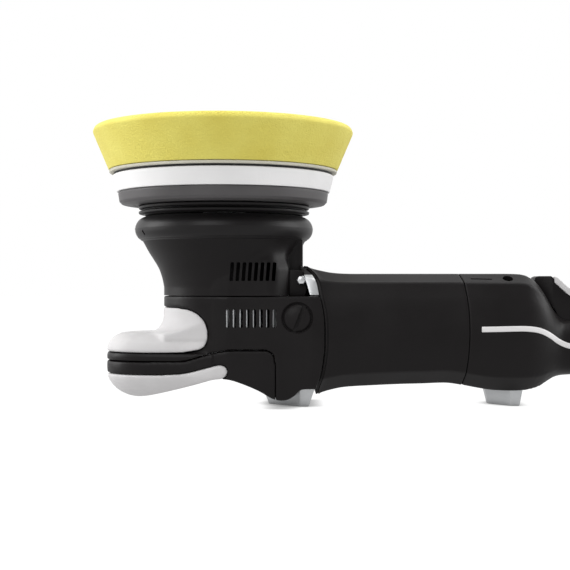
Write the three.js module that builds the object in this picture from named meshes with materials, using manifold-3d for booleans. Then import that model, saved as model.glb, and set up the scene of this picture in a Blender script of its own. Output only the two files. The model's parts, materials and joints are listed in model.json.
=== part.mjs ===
// Corded dual action polisher resting on its two feet with the foam pad facing up.
// Millimetres, +Z up, +X towards the cord end, Y = 0 is the machine's middle plane.
// Everything is drawn about the crank axis, then moved so that the origin is under the front foot.
import * as THREE from "three";
import { mergeVertices } from "three/addons/utils/BufferGeometryUtils.js";
import Module from "manifold-3d";

const wasm = await Module();
wasm.setup();

// ---- driving dimensions -------------------------------------------------------------------------
const FOOT_X = 37; // crank axis to the middle of the front foot's sole
const GAP = 0.3; // left between touching pieces
const WALL = 3; // plastic wall
const FAR = 90; // reach of a cutting tool past what it cuts

const ORBIT = 7.5; // pad axis off the crank axis
const PAD_Y = -ORBIT; // pad axis at rest
const PAD_FACE_Z = 157.4;
const PAD_BASE_Z = 133.2;
const PAD_FACE_R = 74.5;
const PAD_BASE_R = 65;
const PAD_HOLE_R = 11;
const PLATE_TOP_Z = 131.2; // top of the hook layer
const PLATE_R = 62.5;
const CUSHION_TOP_Z = 130.3;
const DISC_TOP_Z = 120.4;
const DISC_BASE_Z = 113.6;
const DISC_R = 60;

const SEAM_Z = 62.1; // between shroud and head cover
const SHROUD_TOP_Z = 91.9;
const COLLAR_R = 35.9;
const BEAD_R = 43.8; // middle of the rubber bead's section
const BEAD_SECTION_R = 7.5;
const BEAD_Z = 100;
const BOOT_R = 47.4;
const BOOT_RIB_R = 49.2;

const MOTOR_Z = 42; // motor axis height
const GEAR_TEETH = 27;
const PINION_TEETH = 9;
const MODULE = 1.5;
const FACE_SCALE = 0.69; // small end of the bevel teeth over the large end
const NECK_R = 34.6; // round front of the head
const SIDE_Y = 36; // flat sides of the head
const TRIGGER_PIN = [258, 44];

const FACETS = 32; // round outside surfaces
const FEW = 14; // small round surfaces

// ---- helpers --------------------------------------------------------------------------------------
function solid(geometry) {
  const bare = new THREE.BufferGeometry();
  const plain = geometry.index ? geometry.toNonIndexed() : geometry;
  bare.setAttribute("position", plain.getAttribute("position"));
  const merged = mergeVertices(bare, 1e-3);
  const triVerts = new Uint32Array(merged.index.array);
  const positions = merged.attributes.position.array;
  const made = new wasm.Manifold(new wasm.Mesh({ numProp: 3, vertProperties: positions, triVerts }));
  if (made.volume() > 0) return made;
  triVerts.reverse();
  return new wasm.Manifold(new wasm.Mesh({ numProp: 3, vertProperties: positions, triVerts }));
}

function geometryOf(body) {
  const mesh = body.getMesh();
  const geometry = new THREE.BufferGeometry();
  geometry.setAttribute("position", new THREE.BufferAttribute(new Float32Array(mesh.vertProperties), 3));
  geometry.setIndex(new THREE.BufferAttribute(new Uint32Array(mesh.triVerts), 1));
  return geometry;
}

const fuse = (first, ...others) => others.reduce((sum, other) => sum.add(other), first);
const cut = (first, ...others) => others.reduce((left, other) => left.subtract(other), first);
const common = (first, ...others) => others.reduce((left, other) => left.intersect(other), first);

function box(x0, x1, y0, y1, z0, z1) {
  const geometry = new THREE.BoxGeometry(x1 - x0, y1 - y0, z1 - z0);
  return solid(geometry.translate((x0 + x1) / 2, (y0 + y1) / 2, (z0 + z1) / 2));
}

// A profile of [radius, height] turned about +Z through (x, y).
function turned(profile, segments = FACETS, x = 0, y = 0) {
  const points = profile.map(([r, z]) => new THREE.Vector2(r, z));
  return solid(new THREE.LatheGeometry(points, segments).rotateX(Math.PI / 2).translate(x, y, 0));
}

// A profile of [radius, x] turned about the motor axis.
function turnedOnMotor(profile, segments = FACETS) {
  const points = profile.map(([r, x]) => new THREE.Vector2(r, x));
  const geometry = new THREE.LatheGeometry(points, segments).rotateZ(-Math.PI / 2);
  return solid(geometry.translate(0, 0, MOTOR_Z));
}

const ringProfile = (r0, r1, a, b) => [[r0, a], [r1, a], [r1, b], [r0, b], [r0, a]];
const rodProfile = (r, a, b) => [[0, a], [r, a], [r, b], [0, b]];

// A round bar along +Y at (x, z).
function crossBar(r, x, z, y0, y1, segments = FEW) {
  const geometry = new THREE.CylinderGeometry(r, r, y1 - y0, segments);
  return solid(geometry.translate(x, (y0 + y1) / 2, z));
}

function shapeOf(points) {
  return new THREE.Shape(points.map(([a, b]) => new THREE.Vector2(a, b)));
}

// An outline of [x, z] points run along Y.
function sidePrism(points, y0, y1) {
  const geometry = new THREE.ExtrudeGeometry(shapeOf(points), { depth: y1 - y0, bevelEnabled: false });
  return solid(geometry.rotateX(Math.PI / 2).translate(0, y1, 0));
}

// An outline of [x, y] points run along Z.
function planPrism(points, z0, z1) {
  const geometry = new THREE.ExtrudeGeometry(shapeOf(points), { depth: z1 - z0, bevelEnabled: false });
  return solid(geometry.translate(0, 0, z0));
}

// An outline of [y, z] points, z from the motor axis, run along X.
function motorPrism(points, x0, x1) {
  const geometry = new THREE.ExtrudeGeometry(shapeOf(points), { depth: x1 - x0, bevelEnabled: false });
  geometry.rotateX(Math.PI / 2).rotateZ(Math.PI / 2);
  return solid(geometry.translate(x0, 0, MOTOR_Z));
}

// Rings of [x, y, z] points joined in turn, with flat ends.
function loft(rings) {
  const count = rings[0].length;
  const positions = rings.flat(2);
  const index = [];
  for (let ring = 0; ring + 1 < rings.length; ring++) {
    for (let i = 0; i < count; i++) {
      const a = ring * count + i;
      const b = ring * count + ((i + 1) % count);
      index.push(a, b, b + count, a, b + count, a + count);
    }
  }
  const centre = (ring) => [0, 1, 2].map((k) => ring.reduce((sum, p) => sum + p[k], 0) / count);
  positions.push(...centre(rings[0]), ...centre(rings[rings.length - 1]));
  const start = rings.length * count;
  const last = start - count;
  for (let i = 0; i < count; i++) {
    index.push(start, (i + 1) % count, i);
    index.push(start + 1, last + i, last + ((i + 1) % count));
  }
  const geometry = new THREE.BufferGeometry();
  geometry.setAttribute("position", new THREE.BufferAttribute(new Float32Array(positions), 3));
  geometry.setIndex(index);
  return solid(geometry);
}

// The outline moved outwards by d, which may be negative. Points run anticlockwise.
function grown(points, d) {
  const count = points.length;
  return points.map(([x, y], i) => {
    const [px, py] = points[(i + count - 1) % count];
    const [nx, ny] = points[(i + 1) % count];
    const before = new THREE.Vector2(y - py, px - x).normalize();
    const after = new THREE.Vector2(ny - y, x - nx).normalize();
    const mitre = before.clone().add(after).normalize();
    const reach = d / Math.max(mitre.dot(after), 0.5);
    return [x + mitre.x * reach, y + mitre.y * reach];
  });
}

const mirrored = (half) => [...half, ...half.slice().reverse().map(([a, b]) => [a, -b])];

// Straight-line value of z at x on a list of [x, z] points.
function along(line, x) {
  const i = line.findIndex(([at], k) => k > 0 && x <= at);
  if (i < 0) return line[line.length - 1][1];
  const [x0, z0] = line[i - 1];
  const [x1, z1] = line[i];
  return z0 + ((z1 - z0) * (Math.max(x, x0) - x0)) / (x1 - x0);
}

const group = new THREE.Group();
function add(name, body, color, roughness = 0.6, metalness = 0) {
  const geometry = geometryOf(body).translate(-FOOT_X, 0, 0);
  const mesh = new THREE.Mesh(geometry, new THREE.MeshStandardMaterial({ color, roughness, metalness }));
  mesh.name = name;
  group.add(mesh);
}

const BLACK = 0x231f20;
const RUBBER = 0x2a2828;
const STEEL = 0xb9bcc0;
const ALLOY = 0xc8cacc;
const COPPER = 0xb06a35;
const SOFT_GREY = 0xdedede;

// ---- pad and backing plate ------------------------------------------------------------------------
function foamPad() {
  return turned(
    [
      [PAD_HOLE_R, PAD_BASE_Z + 0.6],
      [PAD_HOLE_R + 0.6, PAD_BASE_Z],
      [PAD_BASE_R - 0.6, PAD_BASE_Z],
      [PAD_BASE_R, PAD_BASE_Z + 0.6],
      [PAD_FACE_R - 1.4, PAD_FACE_Z - 6.6],
      [PAD_FACE_R - 0.3, PAD_FACE_Z - 4.4],
      [PAD_FACE_R, PAD_FACE_Z - 3.2],
      [PAD_FACE_R - 0.7, PAD_FACE_Z - 1.5],
      [PAD_FACE_R - 2.2, PAD_FACE_Z - 0.4],
      [PAD_FACE_R - 4.6, PAD_FACE_Z],
      [PAD_HOLE_R + 1.5, PAD_FACE_Z],
      [PAD_HOLE_R, PAD_FACE_Z - 1.5],
      [PAD_HOLE_R, PAD_BASE_Z + 0.6],
    ],
    FACETS,
    0,
    PAD_Y,
  );
}

function plateCushion() {
  const hole = PAD_HOLE_R;
  const profile = [[hole, DISC_TOP_Z + GAP], [DISC_R + 0.4, DISC_TOP_Z + GAP]];
  profile.push([PLATE_R, CUSHION_TOP_Z - 2], [PLATE_R, CUSHION_TOP_Z]);
  profile.push([hole, CUSHION_TOP_Z], [hole, DISC_TOP_Z + GAP]);
  return turned(profile, FACETS, 0, PAD_Y);
}

function plateDisc() {
  const bore = 4.3;
  const profile = [[bore, DISC_BASE_Z], [DISC_R - 2.6, DISC_BASE_Z], [DISC_R - 1, DISC_BASE_Z + 1.4]];
  profile.push([DISC_R - 0.3, DISC_BASE_Z + 3.4], [DISC_R, DISC_TOP_Z - 1.6], [DISC_R, DISC_TOP_Z]);
  profile.push([bore, DISC_TOP_Z], [bore, DISC_BASE_Z]);
  return turned(profile, FACETS, 0, PAD_Y);
}

function plateBolt() {
  const seat = DISC_TOP_Z + GAP;
  const profile = [[0, 99], [3.9, 99], [3.9, seat], [9.5, seat], [9.5, seat + 1.4], [6.5, seat + 1.4]];
  profile.push([6.5, seat + 6], [5.9, seat + 6.6], [0, seat + 6.6]);
  return cut(turned(profile, FEW, 0, PAD_Y), turned(rodProfile(3.3, seat + 3, 130), 6, 0, PAD_Y));
}

function outputSpindle() {
  const profile = [[0, 92], [6.8, 92], [7.4, 92.6], [7.4, 109.5], [12, 109.5], [12, 113.3]];
  profile.push([4.2, 113.3], [4.2, 97.5], [0, 97.5]);
  return turned(profile, FEW + 4, 0, PAD_Y);
}

add("foam_pad", foamPad(), 0xd9cf7e, 0.9);
const loopLayer = turned(ringProfile(PAD_HOLE_R, PAD_BASE_R, PLATE_TOP_Z + GAP, PAD_BASE_Z - GAP), FACETS, 0, PAD_Y);
add("pad_loop_layer", loopLayer, 0xe9e6cf, 0.9);
const hooks = turned(ringProfile(PAD_HOLE_R, PLATE_R - 0.3, CUSHION_TOP_Z + GAP, PLATE_TOP_Z), FACETS, 0, PAD_Y);
add("plate_hook_layer", hooks, 0x3a3a3c, 0.9);
add("plate_cushion", plateCushion(), 0xf0f0f0, 0.8);
add("plate_disc", plateDisc(), 0x626264);
add("plate_bolt", plateBolt(), STEEL, 0.35, 1);
add("output_spindle", outputSpindle(), STEEL, 0.35, 1);

// ---- crank, counterweight and bevel gears -------------------------------------------------------
function crankShaft() {
  const profile = [[0, 22.2], [3.9, 22.2], [3.9, 31], [5.9, 31], [5.9, 63.3], [8.4, 63.3], [8.4, 80.6]];
  profile.push([28, 80.6], [28, 84], [0, 84]);
  const shaft = turned(profile, FEW);
  const boss = turned(rodProfile(21, 83, 105), 32, 0, PAD_Y);
  const seat = turned(rodProfile(17.6, 92.4, 106), 32, 0, PAD_Y);
  const relief = turned(rodProfile(9, 88, 106), FEW, 0, PAD_Y);
  return cut(fuse(shaft, boss), seat, relief);
}

function counterweight() {
  const disc = turned(rodProfile(31.5, 84 + GAP, 98), FACETS);
  const bossRoom = turned(rodProfile(21.5, 80, 100), 32, 0, PAD_Y);
  return cut(disc, bossRoom, box(-FAR, FAR, -FAR, -3, 80, 100));
}

// Heights of one bevel tooth row along a turn: root, tip, tip, root for each tooth.
function toothTurns(teeth, rootHalf, tipHalf, offset) {
  const steps = [];
  for (let tooth = 0; tooth < teeth; tooth++) {
    for (const [shift, tip] of [[-rootHalf, 0], [-tipHalf, 1], [tipHalf, 1], [rootHalf, 0]]) {
      steps.push({ turn: ((tooth + offset + shift) * 2 * Math.PI) / teeth, tip });
    }
  }
  return steps;
}

const GEAR_R = (MODULE * GEAR_TEETH) / 2;
const PINION_R = (MODULE * PINION_TEETH) / 2;
const CONE = Math.hypot(GEAR_R, PINION_R);
const ADDENDUM = 1.15;
const DEDENDUM = 1.75;

// The crown wheel: toothed rings of [x, y, z] at both ends of the teeth, closed by a flat back.
function crownGear() {
  const turns = toothTurns(GEAR_TEETH, 0.24, 0.11, 0.5);
  const ring = (scale) =>
    turns.map(({ turn, tip }) => {
      const rise = tip ? ADDENDUM : -DEDENDUM;
      const r = (GEAR_R + (rise * PINION_R) / CONE) * scale;
      const z = MOTOR_Z + (PINION_R - (rise * GEAR_R) / CONE) * scale;
      return [r * Math.cos(turn), r * Math.sin(turn), z];
    });
  const flat = (r, z) => turns.map(({ turn }) => [r * Math.cos(turn), r * Math.sin(turn), z]);
  const toothed = loft([flat(12.5, 56), ring(FACE_SCALE), ring(1), flat(GEAR_R + 0.6, 56)]);
  const back = turned(rodProfile(GEAR_R + 0.2, 54.5, 58.5), FACETS);
  const hub = turned(rodProfile(10, 52, 63), FEW);
  return cut(fuse(toothed, back, hub), turned(rodProfile(6.1, 40, 66), FEW));
}

function pinion() {
  const turns = toothTurns(PINION_TEETH, 0.24, 0.11, 0);
  const ring = (scale) =>
    turns.map(({ turn, tip }) => {
      const rise = tip ? ADDENDUM : -DEDENDUM;
      const r = (PINION_R + (rise * GEAR_R) / CONE) * scale;
      const x = (GEAR_R - (rise * PINION_R) / CONE) * scale;
      return [x, r * Math.sin(turn), MOTOR_Z + r * Math.cos(turn)];
    });
  const toothed = loft([ring(FACE_SCALE), ring(1)]);
  const hub = turnedOnMotor(rodProfile(4.8, GEAR_R - 1, 25.6), FEW);
  return cut(fuse(toothed, hub), turnedOnMotor(rodProfile(2.6, 0, 30), 12));
}

add("crank_shaft", crankShaft(), STEEL, 0.35, 1);
add("counterweight", counterweight(), 0x8d8f92, 0.5, 1);
add("crown_gear", crownGear(), 0x9a9ca0, 0.4, 1);
add("crown_nut", cut(turned(rodProfile(9.6, 46.5, 51.7), 6), turned(rodProfile(6.1, 40, 60), FEW)), STEEL, 0.35, 1);
add("eccentric_bearing", turned(ringProfile(7.5, 17.5, 92.6, 103.6), 32, 0, PAD_Y), STEEL, 0.3, 1);
add("crank_bearing_upper", turned(ringProfile(8.5, 20, 66, 77.6), 32), STEEL, 0.3, 1);
add("crank_bearing_lower", turned(ringProfile(4, 11, 22, 29), FEW), STEEL, 0.3, 1);
add("bearing_plate", turned(ringProfile(10.5, 28, 78.4, 80.1), 32), STEEL, 0.4, 1);

// ---- motor ------------------------------------------------------------------------------------------
function armatureShaft() {
  const profile = [[0, 12.6], [2.5, 12.6], [2.5, 26], [4.9, 26], [4.9, 119.6], [3.9, 119.6], [3.9, 127.4], [0, 127.4]];
  return turnedOnMotor(profile, FEW);
}

function armatureCore() {
  const slots = 10;
  const points = [];
  for (let slot = 0; slot < slots; slot++) {
    for (const [part, r] of [[0, 18], [0.4, 18], [0.8, 18], [0.82, 12.5], [0.98, 12.5]]) {
      const turn = ((slot + part) * 2 * Math.PI) / slots;
      points.push([r * Math.cos(turn), r * Math.sin(turn)]);
    }
  }
  return cut(motorPrism(points, 68, 100), turnedOnMotor(rodProfile(5, 60, 110), FEW));
}

function motorFan() {
  const blades = 9;
  let fan = fuse(turnedOnMotor(rodProfile(25, 52, 53.6), 36), turnedOnMotor(rodProfile(8.5, 42, 53), FEW));
  for (let blade = 0; blade < blades; blade++) {
    const geometry = new THREE.BoxGeometry(9.5, 1.4, 16.5);
    geometry.translate(47.6, 0, 16.2).rotateX((blade * 2 * Math.PI) / blades);
    fan = fuse(fan, solid(geometry.translate(0, 0, MOTOR_Z)));
  }
  return cut(fan, turnedOnMotor(rodProfile(5, 40, 60), FEW));
}

function statorCore() {
  const yoke = turnedOnMotor(ringProfile(25.4, 27.4, 67, 101), FACETS);
  const shoes = turnedOnMotor(ringProfile(18.8, 20.6, 67, 101), FACETS);
  const reach = 15;
  const facing = box(60, 110, -reach, reach, MOTOR_Z - 40, MOTOR_Z + 40);
  const necks = cut(box(67, 101, -7, 7, MOTOR_Z - 26, MOTOR_Z + 26), turnedOnMotor(rodProfile(19.7, 60, 110), FACETS));
  return fuse(yoke, common(shoes, facing), necks);
}

function fieldCoil(side) {
  const band = turnedOnMotor(ringProfile(21, 25, 61.5, 106.5), FACETS);
  const z0 = MOTOR_Z + Math.min(side * 4, side * 30);
  const z1 = MOTOR_Z + Math.max(side * 4, side * 30);
  const window = box(66.6, 101.4, -7.4, 7.4, MOTOR_Z - 40, MOTOR_Z + 40);
  return cut(common(band, box(60, 110, -17.5, 17.5, z0, z1)), window);
}

function brushHolder(side) {
  const sleeve = box(108.4, 118, Math.min(side * 13.4, side * 27.4), Math.max(side * 13.4, side * 27.4), MOTOR_Z - 5.5, MOTOR_Z + 5.5);
  return cut(sleeve, box(110, 116.4, -26, 26, MOTOR_Z - 3.8, MOTOR_Z + 3.8));
}

function brush(side) {
  const y0 = Math.min(side * 11.9, side * 23);
  const y1 = Math.max(side * 11.9, side * 23);
  return box(110.2, 116.2, y0, y1, MOTOR_Z - 3.6, MOTOR_Z + 3.6);
}

function endBridge() {
  const hub = turnedOnMotor(rodProfile(13, 119.9, 129.4), FEW + 4);
  const bar = box(122, 128, -29.2, 29.2, MOTOR_Z - 6, MOTOR_Z + 6);
  const seat = turnedOnMotor(rodProfile(9.8, 118, 127.8), FEW);
  return cut(fuse(hub, bar), seat);
}

add("pinion", pinion(), 0x9a9ca0, 0.4, 1);
add("armature_shaft", armatureShaft(), STEEL, 0.35, 1);
add("armature_core", armatureCore(), 0x77797c, 0.5, 1);
add("winding_front", turnedOnMotor([[5.2, 62], [12, 62], [17, 65], [17, 67.7], [5.2, 67.7], [5.2, 62]], FEW + 4), COPPER);
add("winding_rear", turnedOnMotor([[5.2, 100.3], [17, 100.3], [17, 103], [12, 107], [5.2, 107], [5.2, 100.3]], FEW + 4), COPPER);
add("commutator", turnedOnMotor(ringProfile(5, 11.6, 108, 118.4), FEW + 4), COPPER, 0.3, 1);
add("motor_fan", motorFan(), BLACK);
add("stator_core", statorCore(), 0x77797c, 0.5, 1);
add("field_coil_upper", fieldCoil(1), COPPER);
add("field_coil_lower", fieldCoil(-1), COPPER);
add("motor_bearing_front", turnedOnMotor(ringProfile(5, 13, 30, 38), FEW + 4), STEEL, 0.3, 1);
add("motor_bearing_rear", turnedOnMotor(ringProfile(4, 9.5, 120.4, 126.4), FEW), STEEL, 0.3, 1);
add("motor_end_bridge", endBridge(), BLACK);
for (const [name, side] of [["left", 1], ["right", -1]]) {
  add(`brush_holder_${name}`, brushHolder(side), 0xb89a4a, 0.4, 1);
  add(`brush_${name}`, brush(side), 0x303030);
}

// ---- motor housing and rear shells ----------------------------------------------------------------
// Half a section, as fractions of the half width and half height.
const SECTION = [[0, 1], [0.6, 1], [0.88, 0.84], [0.98, 0.45], [1, 0], [0.98, -0.42], [0.9, -0.74], [0.6, -1], [0, -1]];

function sectionRing(x, top, bottom, half, inset) {
  const height = (top - bottom) / 2 - inset;
  const middle = (top + bottom) / 2;
  const side = SECTION.map(([u, v]) => [x, u * (half - inset), middle + v * height]);
  const other = SECTION.slice(1, -1).reverse();
  return [...side, ...other.map(([u, v]) => [x, -u * (half - inset), middle + v * height])];
}

// x, top, bottom, half width
const MOTOR_SECTIONS = [
  [40, 80.2, 9.6, 34.4],
  [52, 77.2, 9.3, 34],
  [60, 75.2, 9.3, 33.6],
  [68, 74.6, 9.6, 33.4],
  [100, 74.6, 11.2, 33],
  [125, 74.6, 13.2, 32.8],
  [140, 74.6, 11, 32.8],
];
const HANDLE_SECTIONS = [
  [126, 74.6, 13.1, 32.8],
  [140, 74.6, 11, 32.8],
  [150, 74.6, 9.4, 32.2],
  [164, 74.4, 8.8, 31],
  [170, 73.6, 9, 30],
  [175, 71.4, 9.5, 28.5],
  [180, 66.6, 10.8, 26.2],
  [186, 57.6, 14, 22],
  [190, 51.6, 15.8, 19.4],
  [194, 49.3, 16.3, 17.6],
  [200, 49.3, 16.8, 17],
  [240, 49, 17, 16.5],
  [280, 49.4, 16.4, 17.4],
  [314, 50.4, 14.8, 18.8],
  [321, 49.6, 15.6, 18],
  [325, 46, 19.2, 14.8],
];

const bodyOf = (sections, inset) => loft(sections.map(([x, top, bottom, half]) => sectionRing(x, top, bottom, half, inset)));

// Seams as [x, z] lines from top to bottom.
const FRONT_SEAM = [[45.1, 82], [45.1, 78.5], [50.6, 73.6], [54.1, 63], [56.6, 50], [57.1, 40], [56.8, 31], [55.4, 21.5], [52.6, 11], [52.1, 6], [52.1, 0]];
const REAR_SEAM = [[132.2, 82], [132.2, 74.6], [134.5, 69.3], [136.4, 56], [136.9, 43], [136.4, 30], [135, 18], [134, 11], [134, 0]];
const behind = (seam, shift) => sidePrism([...seam.map(([x, z]) => [x + shift, z]), [400, 0], [400, 82]], -FAR, FAR);
const ahead = (seam, shift) => sidePrism([...seam.map(([x, z]) => [x - shift, z]), [-FAR, 0], [-FAR, 82]], -FAR, FAR);

function motorHousing() {
  const walls = cut(bodyOf(MOTOR_SECTIONS, 0), bodyOf([[30, 80.2, 10.4, 34.4], ...MOTOR_SECTIONS, [150, 74.6, 11, 32.8]], WALL));
  return common(walls, behind(FRONT_SEAM, GAP / 2), ahead(REAR_SEAM, GAP / 2));
}

const SCREW_AT = [[159.5, 1], [159.5, -1]];
const SCREW_Y = 23.5;
const SCREW_TILT = 0.52;

// A pocket square to the upper facet of the rear shell.
function screwTool(x, side, r, low, high) {
  const geometry = new THREE.CylinderGeometry(r, r, high - low, 12).rotateX(Math.PI / 2);
  geometry.translate(0, 0, (low + high) / 2).rotateX(-side * SCREW_TILT);
  return solid(geometry.translate(x, side * SCREW_Y, 71.6));
}

const STRIPE_LINE = [[143.5, 43.7], [170, 43.9], [177, 42.8], [183, 40.2], [188, 36.8], [193, 34.6], [200, 33.2], [216, 32.6]];
const STRIPE_HALF = 1.5;

function stripeOutline(extra) {
  const upper = STRIPE_LINE.map(([x, z]) => [x, z + STRIPE_HALF + extra]);
  const lower = STRIPE_LINE.map(([x, z]) => [x, z - STRIPE_HALF - extra]);
  lower[0][0] -= extra;
  upper[0][0] -= extra;
  lower[lower.length - 1][0] += extra;
  upper[upper.length - 1][0] += extra;
  return [...upper.reverse(), ...lower];
}

const TRIGGER_HALF = 10;
const DIAL = { x: 298, z: 24.6, r: 11, half: 3 };
const LOCK = { x: 222, z: 33, r: 4.6 };
const GLAND_X = 322;
const GLAND_Z = 33;

function rearShell(side) {
  const walls = cut(bodyOf(HANDLE_SECTIONS, 0), bodyOf([[120, 74.6, 12.2, 32.8], ...HANDLE_SECTIONS.slice(0, -1)], WALL));
  const keep = side > 0 ? box(100, 400, GAP / 2, FAR, 0, 90) : box(100, 400, -FAR, -GAP / 2, 0, 90);
  const tools = [
    sidePrism(stripeOutline(GAP), side > 0 ? 10 : -FAR, side > 0 ? FAR : -10).subtract(bodyOf(HANDLE_SECTIONS, 1)),
    box(176.3, 265, -TRIGGER_HALF - 0.6, TRIGGER_HALF + 0.6, 42, 80),
    crossBar(2.2, TRIGGER_PIN[0], TRIGGER_PIN[1], -13.4, 13.4, 12),
    box(DIAL.x - 10.4, DIAL.x + 10.4, -DIAL.half - 0.6, DIAL.half + 0.6, 8, 24),
    solid(new THREE.CylinderGeometry(6.4, 6.4, 30, FEW).rotateZ(Math.PI / 2).translate(GLAND_X, 0, GLAND_Z)),
    screwTool(159.5, side, 2.9, -0.9, 6),
    screwTool(159.5, side, 1.6, -8, 6),
  ];
  if (side < 0) tools.push(crossBar(LOCK.r + 0.35, LOCK.x, LOCK.z, -FAR, -8, FEW));
  return cut(common(walls, behind(REAR_SEAM, GAP / 2), keep), ...tools);
}

function stripe(side) {
  const inlay = sidePrism(stripeOutline(0), side > 0 ? 10 : -FAR, side > 0 ? FAR : -10);
  return cut(common(inlay, bodyOf(HANDLE_SECTIONS, 0)), bodyOf(HANDLE_SECTIONS, 1 - GAP));
}

function shellScrew(side) {
  const head = screwTool(159.5, side, 2.6, -0.6, 1);
  return fuse(head, screwTool(159.5, side, 1.3, -7, 0));
}

add("motor_housing", motorHousing(), BLACK);
for (const [name, side] of [["left", 1], ["right", -1]]) {
  add(`rear_shell_${name}`, rearShell(side), BLACK);
  add(`side_stripe_${name}`, stripe(side), 0xf2f2f2);
  add(`shell_screw_${name}`, shellScrew(side), STEEL, 0.3, 1);
}

// ---- trigger, lock button, switch, speed dial and cord gland ---------------------------------------
const TRIGGER_OUTLINE = [
  [191.5, 48.6], [189, 53.6], [183.6, 62], [178.2, 70.2], [178.4, 72.2], [180.3, 73.4], [186.6, 73.4], [190.5, 69.6],
  [197, 65.4], [210, 61.6], [235, 59], [254, 58.4], [261, 56], [263, 52], [263, 48.6],
];

function trigger() {
  const paddle = sidePrism(TRIGGER_OUTLINE.slice().reverse(), -TRIGGER_HALF, TRIGGER_HALF);
  const [px, pz] = TRIGGER_PIN;
  const lug = fuse(box(px - 4, px + 4, -6, 6, pz, 50), crossBar(4, px, pz, -6, 6, FEW));
  const post = box(220, 226, -4, 4, 41.2, 50);
  const padPocket = sidePrism(padOutline(GAP), -TRIGGER_HALF + 1.5 - GAP, TRIGGER_HALF - 1.5 + GAP);
  return cut(fuse(paddle, lug, post), crossBar(2.05, px, pz, -8, 8, 12), padPocket);
}

function padOutline(extra) {
  const top = [[192.5 - extra, 69.6], [197, 66.2], [210, 62.4], [235, 59.8], [251 + extra, 59.2]];
  const low = [[251 + extra, 57 - extra], [235, 57.6 - extra], [210, 60.1 - extra], [197, 63.7 - extra], [192.5 - extra, 66.7 - extra]];
  return extra ? [...top.map(([x, z]) => [x, z + 2]), ...low] : [...top, ...low];
}

function speedDial() {
  const wheel = crossBar(DIAL.r, DIAL.x, DIAL.z, -DIAL.half, DIAL.half, 28);
  return fuse(wheel, crossBar(2, DIAL.x, DIAL.z, -9, 9, 12));
}

function cordGland() {
  const y = 0;
  const profile = [[0, 316], [6, 316], [6, 326], [9, 326], [9, 330], [6.6, 337], [4, 337], [4, 320], [0, 320]];
  const points = profile.map(([r, x]) => new THREE.Vector2(r, x));
  return solid(new THREE.LatheGeometry(points, FEW).rotateZ(-Math.PI / 2).translate(0, y, GLAND_Z));
}

function lockButton() {
  return fuse(crossBar(LOCK.r, LOCK.x, LOCK.z, -18.8, -12.6, FEW), crossBar(2.4, LOCK.x, LOCK.z, -13, -11.2, 12));
}

add("trigger", trigger(), BLACK);
add("trigger_pad", sidePrism(padOutline(0).slice().reverse(), -TRIGGER_HALF + 1.5, TRIGGER_HALF - 1.5), SOFT_GREY, 0.7);
add("trigger_pin", crossBar(1.9, TRIGGER_PIN[0], TRIGGER_PIN[1], -13, 13, 12), STEEL, 0.3, 1);
add("switch_module", fuse(box(206, 246, -8.4, 8.4, 21, 37), box(216, 230, -5, 5, 36, 39.4)), 0x2c2c30);
add("speed_dial", speedDial(), 0x3a3a3c);
add("lock_button", lockButton(), 0x3a3a3c);
add("cord_gland", cordGland(), RUBBER, 0.8);

// ---- head: shroud, bead and boot --------------------------------------------------------------------
const CONE_LINE = [[62, 34.4], [64.2, 34.3], [68.8, 34.9], [73.4, 36], [78, 37.7], [82.7, 40.6], [87.3, 43.5], [91.9, 45.8]];
const REAR_PLAN = mirrored([[-5, 36.4], [8, 36.4], [20, 36.4], [31, 36.4], [37.3, 31], [37.3, 19], [45.2, 19], [45.2, 8]]);

// One level of the shroud: round in front, flat sided behind, and round again where it flares.
function shroudRing(z, inset) {
  const cone = along(CONE_LINE, z);
  const blend = z < 78 ? 1 : Math.max(0, 1 - (z - 78) / 13.9);
  const rear = REAR_PLAN.map(([x, y]) => {
    const reach = Math.hypot(x, y);
    const keep = Math.abs(y) < 20 ? 1 : blend;
    const r = Math.max(cone + (reach - cone) * keep, cone) - inset;
    return [(x / reach) * r, (y / reach) * r, z];
  });
  const front = [];
  const from = Math.atan2(-36.4, -5) + 2 * Math.PI;
  const to = Math.atan2(36.4, -5);
  const steps = 16;
  for (let i = 1; i < steps; i++) {
    const turn = from + ((to - from) * i) / steps;
    front.push([(cone - inset) * Math.cos(turn), (cone - inset) * Math.sin(turn), z]);
  }
  return [...rear, ...front];
}

// Slanted vent slots through both side walls.
const VENT_COUNT = 8;
const VENT_WIDTH = 2.1;
function vents(x0, x1, z0, z1, lean) {
  const tools = [];
  const pitch = (x1 - x0 - VENT_WIDTH) / (VENT_COUNT - 1);
  for (let i = 0; i < VENT_COUNT; i++) {
    const x = x0 + i * pitch;
    const slot = [[x - lean, z0], [x - lean + VENT_WIDTH, z0], [x + VENT_WIDTH, z1], [x, z1]];
    tools.push(sidePrism(slot, -FAR, -25), sidePrism(slot, 25, FAR));
  }
  return tools;
}

const SHROUD_LEVELS = [SEAM_Z + GAP, 68.8, 73.4, 78, 82.7, 87.3, SHROUD_TOP_Z];

function shroud() {
  const outer = loft(SHROUD_LEVELS.map((z) => shroudRing(z, 0)));
  const inner = loft([60, ...SHROUD_LEVELS.slice(1, -1), 88.9].map((z) => shroudRing(z, WALL)));
  const mouth = turned(rodProfile(33, 87, 110), FACETS);
  const collar = turned(ringProfile(32.6, COLLAR_R, 88.5, 105.4), FACETS);
  const lugRoom = box(37.6, 60, -FAR, FAR, 60, 76.4);
  return cut(fuse(cut(outer, inner), collar), mouth, lugRoom, ...vents(4.8, 30.7, 70.4, 80.9, 1.2));
}

function bead() {
  const sides = 12;
  const profile = [];
  for (let i = 0; i <= sides; i++) {
    const turn = (i * 2 * Math.PI) / sides;
    profile.push([BEAD_R + BEAD_SECTION_R * Math.cos(turn), BEAD_Z + BEAD_SECTION_R * Math.sin(turn)]);
  }
  return turned(profile, FACETS);
}

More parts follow.
